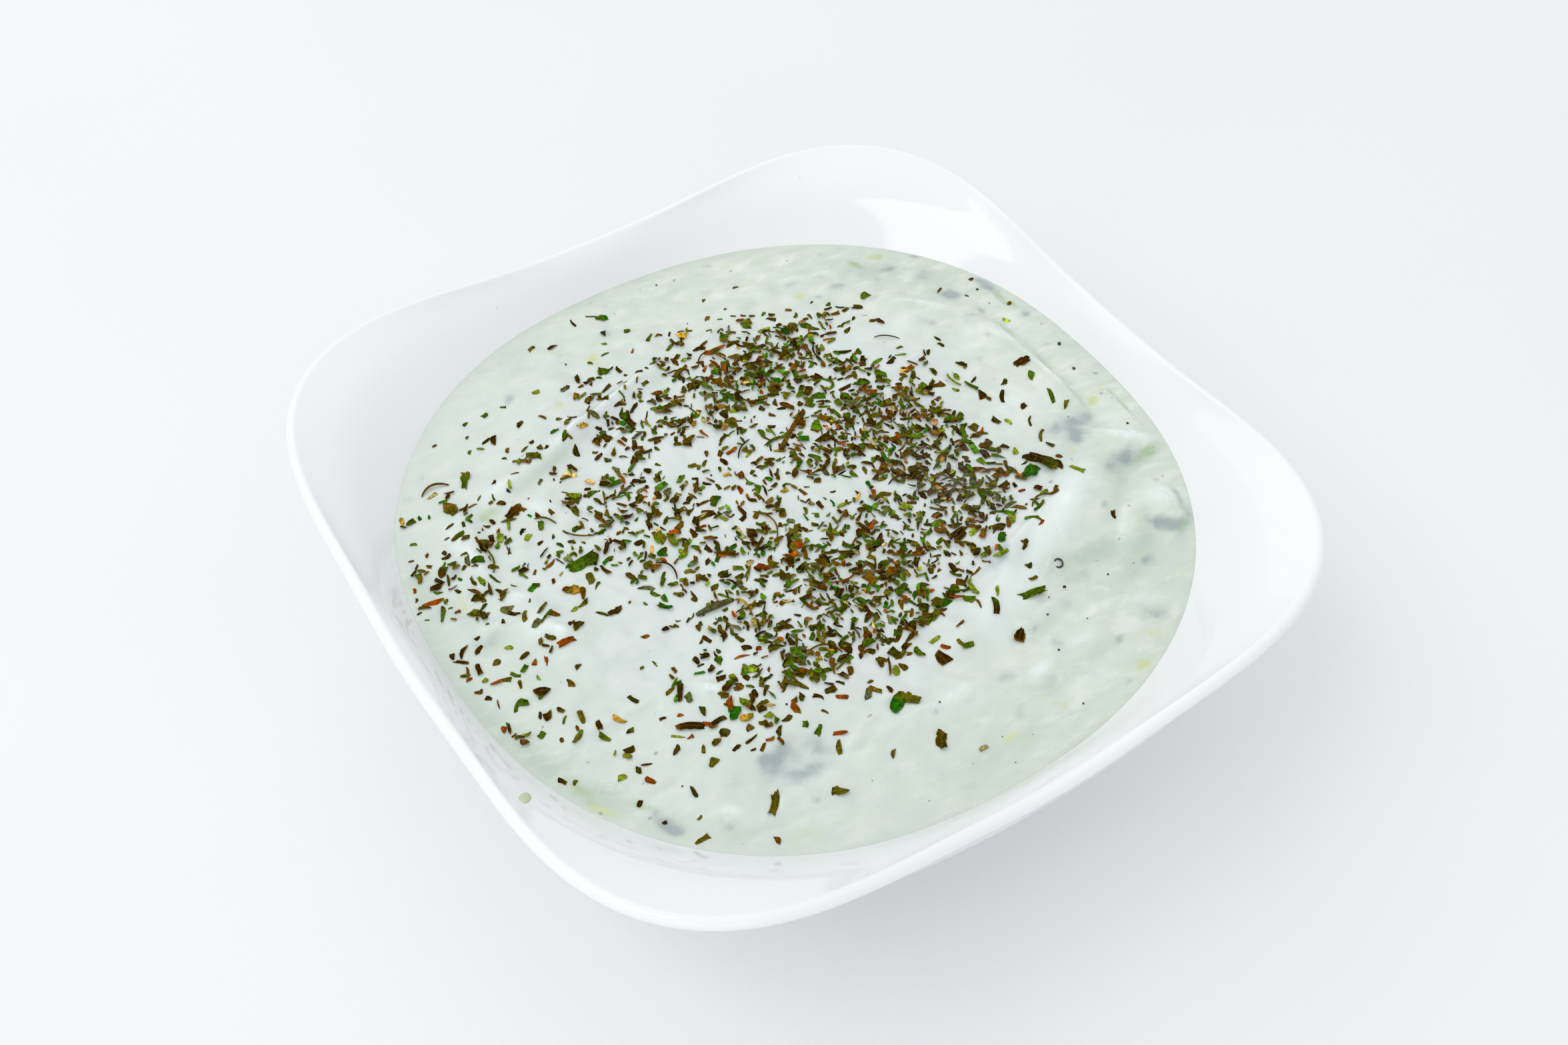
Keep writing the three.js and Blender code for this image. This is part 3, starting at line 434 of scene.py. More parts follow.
    (-48.4, -14.5, 1.3, 1, 0, "umber"), (-46.6, -14.7, 1.3, 0.9, -60, "umber"),
    (-46.9, -16.1, 1.4, 0.7, 45, "green"), (-44.8, -17, 2, 0.9, 80, "olive"),
    (-48.7, -18.7, 0.9, 0.5, 85, "brown"), (-46.1, -18.2, 1, 0.6, 80, "brown"),
    (-46.6, -19.6, 2.4, 1, 30, "olive"), (-43.5, -19.4, 1.6, 0.8, 80, "umber"),
    (-40.8, -20, 1.9, 0.8, -55, "amber"), (-43.8, -21.4, 1.8, 0.8, -60, "green"),
    (-40.5, -22.3, 1.2, 0.9, -10, "umber"), (-33.8, -14, 0.6, 0.5, 0, "olive"),
    (-32.7, -19.6, 1.6, 0.7, 20, "olive"), (-31.1, -19.4, 1.6, 0.8, 65, "bright green"),
    (-51.7, -24.3, 1.4, 0.8, -60, "umber"), (-50.4, -25.3, 0.8, 0.5, 45, "olive"),
    (5.7, 10.3, 3.8, 0.8, 31, "tan"), (-20.8, 40.4, 1.1, 0.8, 9, "lime"),
    (-14.5, 37.6, 0.9, 0.6, -5, "brown"), (-26.2, 35.7, 1.3, 0.8, 20, "umber"),
    (-22.6, 35.1, 1.4, 0.7, -59, "tan"), (-31.2, 34.9, 1.6, 0.9, 55, "umber"),
    (-30.4, 31.8, 1.1, 0.6, 66, "brown"), (-33.5, 34.7, 1.2, 0.6, -46, "lime"),
    (-35.1, 35.2, 0.8, 0.5, 48, "green"), (-32.9, 41, 1, 0.6, 21, "green"),
    (-34.1, 38.2, 0.6, 0.4, 40, "green"), (-38.8, 39.6, 0.8, 0.55, 9, "dark olive"),
    (-29.7, 40.6, 1, 0.6, -4, "green"), (-26.6, 40.6, 1, 0.6, -33, "green"),
    (-20.9, 33.1, 1, 0.6, -46, "olive"), (-20.1, 31.3, 0.9, 0.6, -33, "olive"),
    (-26.5, 31.1, 0.9, 0.6, 30, "umber"), (-29.2, 28.2, 0.7, 0.4, 19, "brown"),
    (-30.6, 29.1, 0.6, 0.4, -33, "brown"), (-25.5, 28.2, 0.9, 0.5, 38, "umber"),
    (-27.4, 28, 0.8, 0.5, -19, "umber"), (-18.8, 28.8, 1.5, 0.5, 13, "amber"),
    (18.2, 44.4, 0.9, 0.7, -33, "olive"), (12.5, 45.2, 0.8, 0.5, 52, "olive"),
    (35.4, 14.3, 1, 0.6, 53, "dark olive"), (38.5, 9.4, 1.4, 0.6, -54, "umber"),
    (30.4, 12.7, 1.7, 0.9, 0, "rust"), (29.3, 15.8, 1.8, 0.9, 25, "umber"),
    (32.2, 29.3, 1.6, 0.8, -40, "dark olive"), (28.5, 30, 1.6, 0.7, -11, "brown"),
    (33.2, 24.3, 1.8, 0.8, -74, "umber"), (28.8, 32.6, 1.2, 0.7, 27, "green"),
    (26.7, 34.5, 0.7, 0.4, 18, "dark olive"), (22.5, 35, 1.2, 0.6, -40, "tan"),
    (18.6, 36.4, 0.9, 0.6, 36, "green"), (16.8, 37, 1.1, 0.4, -18, "brown"),
    (19.4, 35.3, 1, 0.5, -33, "brown"), (10.5, 40.8, 0.8, 0.7, 44, "tan"),
    (12.1, 39.4, 0.8, 0.3, -33, "green"), (14.2, 38.7, 0.9, 0.3, -33, "tan"),
    (15.6, 37.9, 0.9, 0.3, -33, "brown"), (14.1, 40.9, 0.5, 0.4, -33, "olive"),
    (30.1, 27.4, 0.9, 0.7, 55, "dark olive"), (27.4, 27.2, 1, 0.6, -33, "green"),
    (22.8, 33.2, 1.2, 0.6, 35, "green"), (23.6, 31.6, 0.9, 0.6, -18, "brown"),
    (26.5, 30.8, 0.9, 0.5, -33, "green"), (6.8, 40.2, 1, 0.5, -33, "tan"),
    (9.2, 38.1, 0.9, 0.4, -18, "umber"), (14.8, 35, 1.2, 0.4, -25, "green"),
    (10.5, 35.7, 1.6, 0.7, -5, "green"), (16.1, 33.1, 1.2, 0.6, 7, "brown"),
    (19.2, 32.8, 1, 0.6, 7, "umber"), (20.5, 30.8, 1.4, 0.8, -18, "dark olive"),
    (23.6, 28.9, 1.4, 0.7, -47, "green"), (-49.6, 28.2, 1.5, 0.75, 70, "amber"),
    (-48.6, 27.2, 1.45, 0.9, 20, "green"), (-9.8, -1.1, 2.8, 0.5, 86, "straw"),
    (34.6, -12.6, 2.8, 1.6, -40, "umber"), (37.4, -15.6, 2.2, 1.2, -70, "umber"),
)

# Where the lone pieces stand for all small ones: lowest and highest x, lowest and highest y
LONE_ZONES = (
    (31, 60, -60, 12), (-60, 60, -60, -29), (-60, -34, -29, 3.6), (-36, -28, -29, -22),
    (-60, -17, 31, 60), (8, 60, 37.5, 60), (17, 60, 33, 60), (24, 60, 32, 60), (0, 60, 43, 60))

# Where the herbs lie thick: middle x and y, half length, half width, azimuth of the length,
# and the share of the surface that they hide
HERB_PATCHES = (
    (10, 27, 17, 8, 0, 0.6), (23, 0, 18, 9, 90, 0.65), (-4, -20, 18, 9, 0, 0.62),
    (-22, 9, 12, 9, 60, 0.35), (-8, 0, 40, 30, 0, 0.16), (-52, 3, 18, 6, 90, 0.12),
)

# Where more or fewer small pieces lie than that, in the same form
SMALL_HERB_PATCHES = (
    (4, 6, 12, 10, 0, 0.16), (-51, 14, 5, 8, 0, 0.1), (-12, -14, 7, 6, 0, 0.2),
    (12, 2, 8, 12, 0, 0.14), (27, -16, 8, 6, 10, 0.45), (0, -28, 16, 6, 0, 0.15),
    (-26, -31, 11, 7, 0, 0.12), (-50, -16, 5, 8, 30, 0.12), (-44, 22, 9, 10, 0, 0.03),
    (-2, 35, 13, 5, 0, 0.12), (-12, -17, 7, 5, 0, -0.35), (4, -25, 7, 4, 0, -0.12),
    (-20, -24, 6, 6, 0, -0.2), (28, -9, 5, 5, 0, -0.4), (0, -19, 8, 4, 0, -0.2),
    (-10, -36, 8, 3, 0, 0.2), (-28, -37, 4, 3, 0, 0.2), (-4, -9, 5, 4, 0, 0.22),
    (-30, 0, 6, 6, 0, -0.25), (-19, 2, 5, 6, 0, -0.2), (-28, 14, 5, 5, 0, -0.15),
    (-13, 14, 5, 5, 0, -0.2), (20, 22, 6, 4, 0, -0.15), (28, 23, 5, 4, 0, -0.25),
    (0, -3, 6, 4, 0, -0.1), (-20, 15, 4, 3, 0, 0.1), (12, 32, 8, 3, 0, -0.15),
    (-4, 38, 4, 2.5, 0, -0.15), (8, 16, 8, 4, 0, -0.14), (12, -2, 5, 5, 0, -0.15),
    (-28, -34, 8, 5, 0, 0.1), (-6, 32, 7, 4, 0, -0.15), (28, 29, 3.5, 3, 0, 0.2),
    (20, 25, 5, 4, 0, -0.04), (28, 15, 4, 4, 0, -0.25), (-3, 24, 4, 4, 0, -0.16),
    (4, 32, 4, 4, 0, -0.25), (-20, 24, 4, 4, 0, -0.16), (-7, 16, 6, 4, 0, -0.16),
    (12, 16, 4, 4, 0, -0.1), (17, 8, 6, 4, 0, 0.14), (-20, 8, 4, 4, 0, -0.1),
    (8, -1, 7, 4, 0, -0.25), (36, 0, 3, 4, 0, 0.05), (-12, -16, 4, 4, 0, -0.2),
    (-28, -25, 4, 4, 0, -0.1), (-4, -25, 4, 4, 0, -0.12), (14, -25, 7, 4, 0, -0.22),
    (4, -32, 4, 4, 0, -0.14), (28, 2, 4, 5, 0, 0.12), (20, -26, 4, 4, 0, -0.15),
)
BARE_PATCH = (-32, -12, 10, 7, -60)
HERB_FIELD = (-7, 3, 43, 38)  # middle and half sizes; few pieces fall outside this round
LOWER_RIGHT_END = 30  # the field's far side towards azimuth -53
STRAY_SHARE = 0.006
GREY_PATCH = (23, -10, 8, 7, 0)  # where the pieces are greyer
GREY_TINT = (0.105, 0.090, 0.070)

# Thin stalks and curled leaf edges: middle x and y, radius of the curl, azimuth where it
# starts, sweep, thickness, colour
STALKS = (
    (-9.2, -2, 4.4, 46, -90, 0.26, "tan"), (-43, 29.4, 2.6, 140, -110, 0.34, "brown"),
    (46, 2.6, 30, 177.2, 5.7, 0.34, "straw"), (-18.6, -13, 2.2, 50, -70, 0.36, "amber"),
    (-11.5, 68.6, 80, -98.3, 4.1, 0.86, "stem"), (2, 8.6, 5, 100, 50, 0.26, "umber"),
    (26.9, 14.5, 8, 65.8, -29.6, 0.2, "umber"), (-27, 14, 4, 200, 60, 0.26, "olive"),
    (15, -8, 3, 10, 110, 0.3, "umber"), (6.5, 30.5, 3.4, 80, 80, 0.26, "brown"),
    (-47, 14.5, 5, -40, 60, 0.28, "olive"), (24, 23, 4, 130, 70, 0.26, "umber"),
    (-2, -14, 3, 220, 100, 0.28, "rust"), (-13, -28, 3.6, 20, 80, 0.28, "brown"),
    (30.6, -22.6, 3, 60, 80, 0.32, "olive"), (36.6, 7.6, 1.9, 130, 110, 0.34, "lime"),
    (27, 7.5, 4.5, 230, 60, 0.3, "rust"), (-36, 13, 5, 20, 40, 0.28, "olive"),
    (12, -24.5, 3, 190, 80, 0.3, "green"), (-24.5, -2, 3, -30, 90, 0.26, "umber"),
)
PEPPER_RING = (25.6, -30.3, 0.62, 130, -290)  # middle x and y, radius, start and sweep
PEPPER_RING_THICKNESS = 0.26
PEPPER_RING_COLOUR = (0.02, 0.022, 0.03)
PEPPER_RING_STEPS, PEPPER_RING_SUNK = 22, 0.2
PEPPER_COLOURS = (
    (0.030, 0.022, 0.010), (0.07, 0.045, 0.018), (0.16, 0.05, 0.02), (0.05, 0.05, 0.03))
PEPPER_SHARES = (0.45, 0.3, 0.12, 0.13)

# ---- Stage -------------------------------------------------------------------------------

CAMERA_AZIMUTH = -34.313  # where the camera stands: 0 is -Y, 90 is +X
CAMERA_ELEVATION = 49.035
CAMERA_ROLL = 1.13
CAMERA_DISTANCE = 256.23  # along the view, from the middle of the dip's level
FOCAL_LENGTH, SENSOR_WIDTH = 39.957, 36
IMAGE_SIZE = (2352, 1568)
MIDDLE_PIXEL = (1188.57, 755.01)  # where the middle of the dip's level is seen

FLOOR_HALF, FLOOR_RISE, FLOOR_POINTS = 1400.0, 900.0, 81
SKY_COLOUR = (0.965, 0.98, 1.0)
# The lights, whose first word is the setting for their power: azimuth and elevation as for the
# camera, distance, width and height
LIGHTS = {
    "window": (-92, 56, 900, (540, 480)),
    "back light": (-174, 50, 1400, (1500, 900)),
    "low light": (-48, 12, 1100, (1500, 500)),
}


# ---- Numbers -----------------------------------------------------------------------------

def mix(a, b, share):
    return a + (b - a) * share


def smoothstep(x, low, high):
    t = np.clip((x - low) / (high - low), 0, 1)
    return t * t * (3 - 2 * t)


def columns(*parts):
    """Arrays of one shape, side by side along a new last axis."""
    return np.stack(parts, axis=-1)


def unit(angle):
    """The direction at an angle in radians, as x and y."""
    return columns(np.cos(angle), np.sin(angle))


def counted_random(seed):
    """Seeded numbers from 0 to 1, by the same rule that places the herbs of the dip's solid."""
    state, states = seed, 2**32
    while True:
        state = (state * 1664525 + 1013904223) % states
        yield state / states


def spline(controls, places):
    """Points of cubic B-splines that start and end on their first and last control points.

    controls is (..., n, 2) and places runs from 0 to n - 1. A point is the sum of four
    control points, weighted by the uniform cubic basis; the end points are mirrored outwards.
    """
    before = 2 * controls[..., :1, :] - controls[..., 1:2, :]
    after = 2 * controls[..., -1:, :] - controls[..., -2:-1, :]
    padded = np.concatenate([before, controls, after], axis=-2)
    span = np.minimum(places.astype(int), controls.shape[-2] - 2)
    t = places - span
    weights = ((1 - t) ** 3, 3 * t**3 - 6 * t**2 + 4, -3 * t**3 + 3 * t**2 + 3 * t + 1, t**3)
    return sum(w[:, None] * padded[..., span + k, :] for k, w in enumerate(weights)) / 6


def radius_at(curves, heights):
    """Radius of each curve, (n, points, 2) of radius and height, at its own heights."""
    return np.array([np.interp(h, c[:, 1], c[:, 0]) for h, c in zip(heights, curves)])


# ---- Meshes ------------------------------------------------------------------------------

def add_to_scene(name, data):
    piece = bpy.data.objects.new(name, data)
    bpy.context.scene.collection.objects.link(piece)
    return piece


def mesh_object(name, points, *faces, smooth=True):
    """A mesh object from points in millimetres and arrays of faces, each array with faces of
    its own number of corners."""
    mesh = bpy.data.meshes.new(name)
    corners = np.concatenate([group.ravel() for group in faces]).astype(np.int32)
    sizes = np.concatenate([np.full(len(group), group.shape[1]) for group in faces])
    mesh.vertices.add(len(points))
    mesh.vertices.foreach_set("co", (points * MM).astype(np.float32).ravel())
    mesh.loops.add(len(corners))
    mesh.loops.foreach_set("vertex_index", corners)
    mesh.polygons.add(len(sizes))
    mesh.polygons.foreach_set("loop_start", (np.cumsum(sizes) - sizes).astype(np.int32))
    mesh.polygons.foreach_set("use_smooth", np.full(len(sizes), smooth))
    mesh.update(calc_edges=True)
    mesh.validate()
    return add_to_scene(name, mesh)


def grid_quads(grid):
    """Quads of a grid of vertex numbers."""
    return columns(grid[:-1, :-1], grid[:-1, 1:], grid[1:, 1:], grid[1:, :-1]).reshape(-1, 4)


def sheet_quads(rows, cols):
    """Quads of a thin closed sheet: a grid, the same grid again as its underside, and a rim."""
    grid = np.arange(rows * cols).reshape(rows, cols)
    top = grid_quads(grid)
    loop = np.concatenate([grid[0, :-1], grid[:-1, -1], grid[-1, :0:-1], grid[:0:-1, 0]])
    following = np.roll(loop, -1)
    rim = columns(loop, loop + grid.size, following + grid.size, following)
    return np.concatenate([top, top[:, ::-1] + grid.size, rim])


def ring_faces(rings):
    """Quads between neighbouring rings of vertex numbers, (rings, points round), and a fan of
    triangles from a pole to each end ring. The poles' numbers follow those of the rings."""
    around = rings.shape[1]
    following = np.roll(rings, -1, axis=1)
    quads = columns(rings[:-1], following[:-1], following[1:], rings[1:]).reshape(-1, 4)
    low = columns(np.full(around, rings.size), following[0], rings[0])
    high = columns(np.full(around, rings.size + 1), rings[-1], following[-1])
    return quads, np.concatenate([low, high])


def closed_of_revolution(sections):
    """Points and faces of a closed surface from its section at each azimuth.

    sections is (steps round, points of a section, 3). Their first and last points lie on the
    axis and become one pole each; between them the surface is closed round the axis by quads.
    """
    inner = sections[:, 1:-1]
    points = np.concatenate([inner.reshape(-1, 3), sections[:1, 0], sections[:1, -1]])
    rings = np.arange(inner.shape[0] * inner.shape[1]).reshape(inner.shape[:2]).T
    return points, *(np.roll(faces[:, ::-1], 1, axis=1) for faces in ring_faces(rings))


def set_point_attribute(piece, name, values):
    """A value per vertex: a number each, or a colour each, (n, 3)."""
    kind, field = "FLOAT", "value"
    if values.ndim == 2:
        kind, field = "FLOAT_COLOR", "color"
        values = np.concatenate([values, np.ones((len(values), 1))], axis=1)
    attribute = piece.data.attributes.new(name, kind, "POINT")
    attribute.data.foreach_set(field, values.astype(np.float32).ravel())


def place_in_part(piece, material, replaced=None):
    """Gives a piece its material. It rides on the one body, takes its slot, and may stand for a
    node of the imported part."""
    piece.data.materials.append(material)
    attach(piece, "root")
    if replaced:
        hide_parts(replaced)


# ---- Shader writing ----------------------------------------------------------------------

class Value:
    """A shader socket that takes part in sums: an expression on values adds its Math nodes."""

    def __init__(self, shader, socket):
        self.shader, self.socket = shader, socket

    def math(self, operation, other, clamp=False, swapped=False):
        inputs = {0: other, 1: self} if swapped else {0: self, 1: other}
        settings = {"operation": operation, "use_clamp": clamp}
        return self.shader.node("ShaderNodeMath", settings, inputs)

    def __add__(self, other): return self.math("ADD", other)
    def __sub__(self, other): return self.math("SUBTRACT", other)
    def __rsub__(self, other): return self.math("SUBTRACT", other, swapped=True)
    def __mul__(self, other): return self.math("MULTIPLY", other)

    __radd__, __rmul__ = __add__, __mul__

    def clamped(self): return self.math("ADD", 0.0, clamp=True)

    def between(self, low, high):
        """0 below low, 1 above high, and a smooth step between."""
        settings = {"interpolation_type": "SMOOTHSTEP"}
        inputs = {"Value": self, "From Min": low, "From Max": high}
        return self.shader.node("ShaderNodeMapRange", settings, inputs, "Result")


class Shader:
    """One material and its nodes."""

    def __init__(self, name):
        self.material = bpy.data.materials.new(name)
        self.material.use_nodes = True
        self.tree = self.material.node_tree
        self.tree.nodes.clear()

    def node(self, kind, settings=None, inputs=None, output=0):
        """Adds a node: first its settings, then the values or links of its sockets. A colour is
        given as r, g, b. Returns one of its outputs, if it has any."""
        node = self.tree.nodes.new(kind)
        for key, setting in (settings or {}).items():
            setattr(node, key, setting)
        for key, value in (inputs or {}).items():
            socket = node.inputs[key]
            if isinstance(value, Value):
                self.tree.links.new(value.socket, socket)
            else:
                socket.default_value = (*value, 1.0) if socket.type == "RGBA" else value
        return Value(self, node.outputs[output]) if len(node.outputs) else None

    def position(self):
        """The point in the part's frame, in millimetres."""
        place = self.node("ShaderNodeTexCoord", output="Object")
        inputs = {0: place, "Scale": 1 / MM}
        return self.node("ShaderNodeVectorMath", {"operation": "SCALE"}, inputs)

    def axis(self, vector, name):
        return self.node("ShaderNodeSeparateXYZ", inputs={0: vector}, output=name)

    def noise(self, where, size, detail=2.0, roughness=0.5, seed=0.0, distortion=0.0):
        """Smooth noise about 0.5, whose lumps are about size millimetres across."""
        inputs = {"Vector": where, "W": seed, "Scale": 1 / size, "Detail": detail,
                  "Roughness": roughness, "Distortion": distortion}
        return self.node("ShaderNodeTexNoise", {"noise_dimensions": "4D"}, inputs)

    def attribute(self, name, output="Fac"):
        return self.node("ShaderNodeAttribute", {"attribute_name": name}, output=output)

    def mix_colour(self, share, a, b, blend="MIX"):
        settings = {"data_type": "RGBA", "blend_type": blend}
        return self.node("ShaderNodeMix", settings, {0: share, 6: a, 7: b}, 2)

    def layered(self, colour, layers):
        """A colour under layers, each a share and a colour that is mixed over those before."""
        for share, over in layers:
            colour = self.mix_colour(share, colour, over)
        return colour

    def bump(self, height, distance):
        """A normal from a height whose 0 to 1 stands for distance millimetres."""
        inputs = {"Height": height, "Distance": distance * MM, "Strength": 1.0}
        return self.node("ShaderNodeBump", inputs=inputs, output="Normal")

    def finish(self, **sockets):
        """The surface: a Principled shader, whose sockets are named with _ for a space."""
        inputs = {key.replace("_", " "): value for key, value in sockets.items()}
        surface = self.node("ShaderNodeBsdfPrincipled", inputs=inputs)
        self.node("ShaderNodeOutputMaterial", inputs={"Surface": surface})
        return self.material


# ---- Finishes ----------------------------------------------------------------------------

def scaled(colour, factor):
    return tuple(factor * c for c in colour)


def glazed_porcelain(colour, roughness):
    """Cool white glaze: slow waves in the gloss, a few dark specks, and a bare foot ring."""
    s = Shader("glazed porcelain")
    where = s.position()
    bare = 1 - s.axis(where, "Z").between(0.25, 0.6)
    cloudy = s.noise(where, 30).between(0.3, 0.7)
    specks = s.noise(where, 0.9, 0.0, seed=3.0).between(0.885, 0.905)
    biscuit = s.mix_colour(s.noise(where, 0.5, 3.0), (0.72, 0.70, 0.66), (0.80, 0.78, 0.75))
    smears = s.noise(where, 9, 3.0, 0.6, seed=7.0).between(0.5, 0.8)
    rough = roughness + smears * 0.05
    waves = s.noise(where, 18, 1.0, seed=1.0) + s.noise(where, 2.2, 1.0, seed=2.0) * 0.02
    grain = s.noise(where, 0.25)
    return s.finish(
        Base_Color=s.layered(colour, (
            (cloudy, scaled(colour, 0.985)),
            (specks * 0.35, (0.42, 0.40, 0.38)),
            (bare, biscuit),
        )),
        Roughness=rough * (1 - bare) + bare * 0.75,
        Specular_IOR_Level=0.5,
        IOR=1.52,
        Normal=s.bump(waves + grain * bare * 0.2, 0.22),
    )


def herbed_cream(colour):
    """Thick yoghurt: greener towards its edge, paler or greener in patches, combed by the spoon,
    tinted by what is sunk in it, and moist. The paler patches are partly painted highlight, and the
    greener ones and some of the sunk skin partly painted shade; the combed strokes get a painted
    highlight on their crests and painted shade in their furrows."""
    s = Shader("cucumber yoghurt")
    where = s.position()
    edge, lumpy = s.attribute("edge"), s.attribute("lumps")
    rightward = s.axis(where, "X").between(-35, 25)
    outer = s.mix_colour(rightward, (0.632, 0.700, 0.640), (0.640, 0.712, 0.612))
    slow = s.noise(where, 14, seed=4.0).between(0.38, 0.68)
    pools = s.noise(where, 7, 3.0, 0.55, seed=13.0).between(0.52, 0.74)
    leafy = s.noise(where, 5, seed=14.0).between(0.55, 0.78)
    soft = 0.7 + s.noise(where, 3, 3.0, 0.6, seed=5.0) * 0.6
    combed = s.node("ShaderNodeMapping", {"vector_type": "TEXTURE"}, {
        "Vector": where, "Rotation": (0, 0, math.radians(-6)), "Scale": (2.6, 1, 1)})
    strokes = s.noise(combed, 1.9, 3.0, 0.55, seed=15.0, distortion=0.5)
    dragged = edge * (0.3 + rightward * 0.7)
    flecks = s.noise(where, 2.4, seed=6.0).between(0.68, 0.78)
    crumb = 0.5 + s.noise(where, 1.2, 3.0, 0.6, seed=8.0)
    skin = (s.attribute("skin") * crumb).between(0.02, 0.88) * 0.76
    flesh = (s.attribute("flesh") * crumb).between(0.12, 0.6) * 0.8
    straw = (s.attribute("straw") * crumb).between(0.15, 0.65) * 0.8
    peppered = s.noise(where, 1.15, 0.0, seed=9.0).between(0.82, 0.86)
    relief = s.noise(where, 5, seed=10.0) + s.noise(where, 1.1, 1.0, seed=11.0) * 0.05
    relief = relief + strokes * dragged * 0.35
    relief = relief + lumpy * s.noise(where, 1.05, 1.0, seed=17.0) * 1.35
    wet = s.noise(where, 9, seed=12.0).between(0.3, 0.7)
    return s.finish(
        Base_Color=s.layered(colour, (
            (edge, outer),
            (slow * 0.45, (0.600, 0.680, 0.600)),
            (pools * (0.1 + edge * 0.28), (0.480, 0.590, 0.555)),
            (leafy * edge * 0.35, (0.570, 0.680, 0.430)),
            # The paler thick colour is partly painted highlight on crests and glints; the darker
            # thin colour is partly painted shade along the wall, beside the fold and under the
            # slice.
            ((s.attribute("thick") * soft).clamped(), (0.795, 0.875, 0.840)),
            ((s.attribute("thin") * soft).clamped(), (0.455, 0.555, 0.455)),
            # Painted highlight on the combed strokes' crests and painted shade in their furrows,
            # where the same noise raises and lowers the bump.
            (strokes.between(0.50, 0.68) * (0.12 + dragged * 0.4), (0.775, 0.830, 0.785)),
            ((1 - strokes).between(0.50, 0.68) * (0.06 + dragged * 0.3), (0.515, 0.615, 0.550)),
            (flecks * 0.3, (0.610, 0.700, 0.430)),
            # The skin colour is partly painted shade: along the wall, under the cucumber slice and
            # under a herb.
            (skin, (0.270, 0.335, 0.350)),
            (flesh, (0.360, 0.510, 0.270)),
            (straw, (0.600, 0.660, 0.280)),
            (peppered * 0.55, (0.235, 0.215, 0.235)),
        )),
        Roughness=0.34,
        Specular_IOR_Level=0.6,
        Subsurface_Weight=0.35,
        Subsurface_Radius=(1.0, 1.05, 0.8),
        Subsurface_Scale=0.6 * MM,
        Coat_Weight=0.35 + wet * 0.25 + lumpy * 0.4,
        Coat_Roughness=0.14,
        Normal=s.bump(relief, 0.45),
    )


def cucumber_flesh():
    """Pale wet green with fine fibres."""
    s = Shader("cucumber flesh")
    fibres = s.noise(s.position(), 0.5, 3.0, 0.6)
    return s.finish(
        Base_Color=s.mix_colour(fibres, (0.470, 0.560, 0.300), (0.640, 0.700, 0.480)),
        Roughness=0.3 + fibres * 0.1,
        Subsurface_Weight=0.3,
        Subsurface_Scale=0.5 * MM,
        Normal=s.bump(fibres, 0.08),
    )


def dried_leaf():
    """Crumbled leaf: each piece's own tint, mottled, with a paler rib and a dry brown edge."""
    s = Shader("dried leaf")
    where = s.position()
    mottle = s.noise(where, 0.45, 3.0, 0.6, seed=2.0)
    shade = s.mix_colour(mottle.between(0.3, 0.7), (0.45, 0.42, 0.40), (1.65, 1.60, 1.45))
    mottled = s.mix_colour(1.0, s.attribute("tint", "Color"), shade, "MULTIPLY")
    leaf = s.node("ShaderNodeUVMap", {"uv_map": "leaf"})
    along, across = ((s.axis(leaf, name) - 0.5).math("ABSOLUTE", 0.0) for name in "XY")
    dry = s.noise(where, 1.4, 1.0, seed=7.0).between(0.48, 0.60)
    rim = across.math("MAXIMUM", along).between(0.34, 0.5)
    rib = 1 - across.between(0.03, 0.12)
    return s.finish(
        Base_Color=s.layered(mottled, (
            (rim * dry * 0.5, (0.300, 0.135, 0.012)),
            (rib * 0.14, (0.240, 0.210, 0.040)),
        )),
        Roughness=0.6 + mottle * 0.2,
        Specular_IOR_Level=0.0,
        Normal=s.bump(s.noise(where, 0.3, 3.0, 0.6), 0.12),
    )


def ground_pepper():
    """Dark grains with paler chips."""
    s = Shader("ground pepper")
    chips = s.noise(s.position(), 0.25).between(0.5, 0.72)
    return s.finish(
        Base_Color=s.mix_colour(chips, s.attribute("tint", "Color"), (0.22, 0.17, 0.11)),
        Roughness=0.55 + chips * 0.2,
        Specular_IOR_Level=0.3,
        Normal=s.bump(chips, 0.05),
    )


def pale_floor(colour):
    """Matt pale ground, very slightly uneven."""
    s = Shader("pale floor")
    where = s.position()
    soft = s.noise(where, 90).between(0.3, 0.7)
    return s.finish(
        Base_Color=s.mix_colour(soft * 0.5, colour, scaled(colour, 0.975)),
        Roughness=0.85 + s.noise(where, 4) * 0.1,
        Specular_IOR_Level=0.15,
        Normal=s.bump(s.noise(where, 0.8, 3.0), 0.03),
    )


# ---- Dish --------------------------------------------------------------------------------

def cornerness(azimuth):
    """0 in the middle of a flat side, 1 at a corner: half of one minus cos of four times."""
    return (1 - np.cos(4 * azimuth)) / 2


def lip_centre(azimuth):
    """Middle of the lip's rounding as radius and height, (n, 2). The radius runs from flat side
    to corner with the cornerness, less a wave of eight turns that draws the rest inwards."""
    share = cornerness(azimuth)
    pull = DRAWN_IN * (1 - np.cos(8 * azimuth)) / 2
    radius = mix(*WIDTH, share) / 2 - LIP_RADIUS - pull
    return columns(radius, mix(*LIP_TOP, share) - LIP_RADIUS)


def lip_angle(azimuth, slope, side):
    """Direction from the middle of the lip's rounding to where a wall of a slope meets it: side
    +1 inside, -1 outside."""
    return np.radians(mix(*slope, cornerness(azimuth)) + 90 * side)


def lip_touch(azimuth, slope, side):
    """Where a wall meets the lip's rounding, (n, 1, 2)."""
    return (lip_centre(azimuth) + LIP_RADIUS * unit(lip_angle(azimuth, slope, side)))[:, None]


def mixed_controls(azimuth, flats, corners):
    share = cornerness(azimuth)[:, None, None]
    return mix(np.array(flats, float)[None], np.array(corners, float)[None], share)


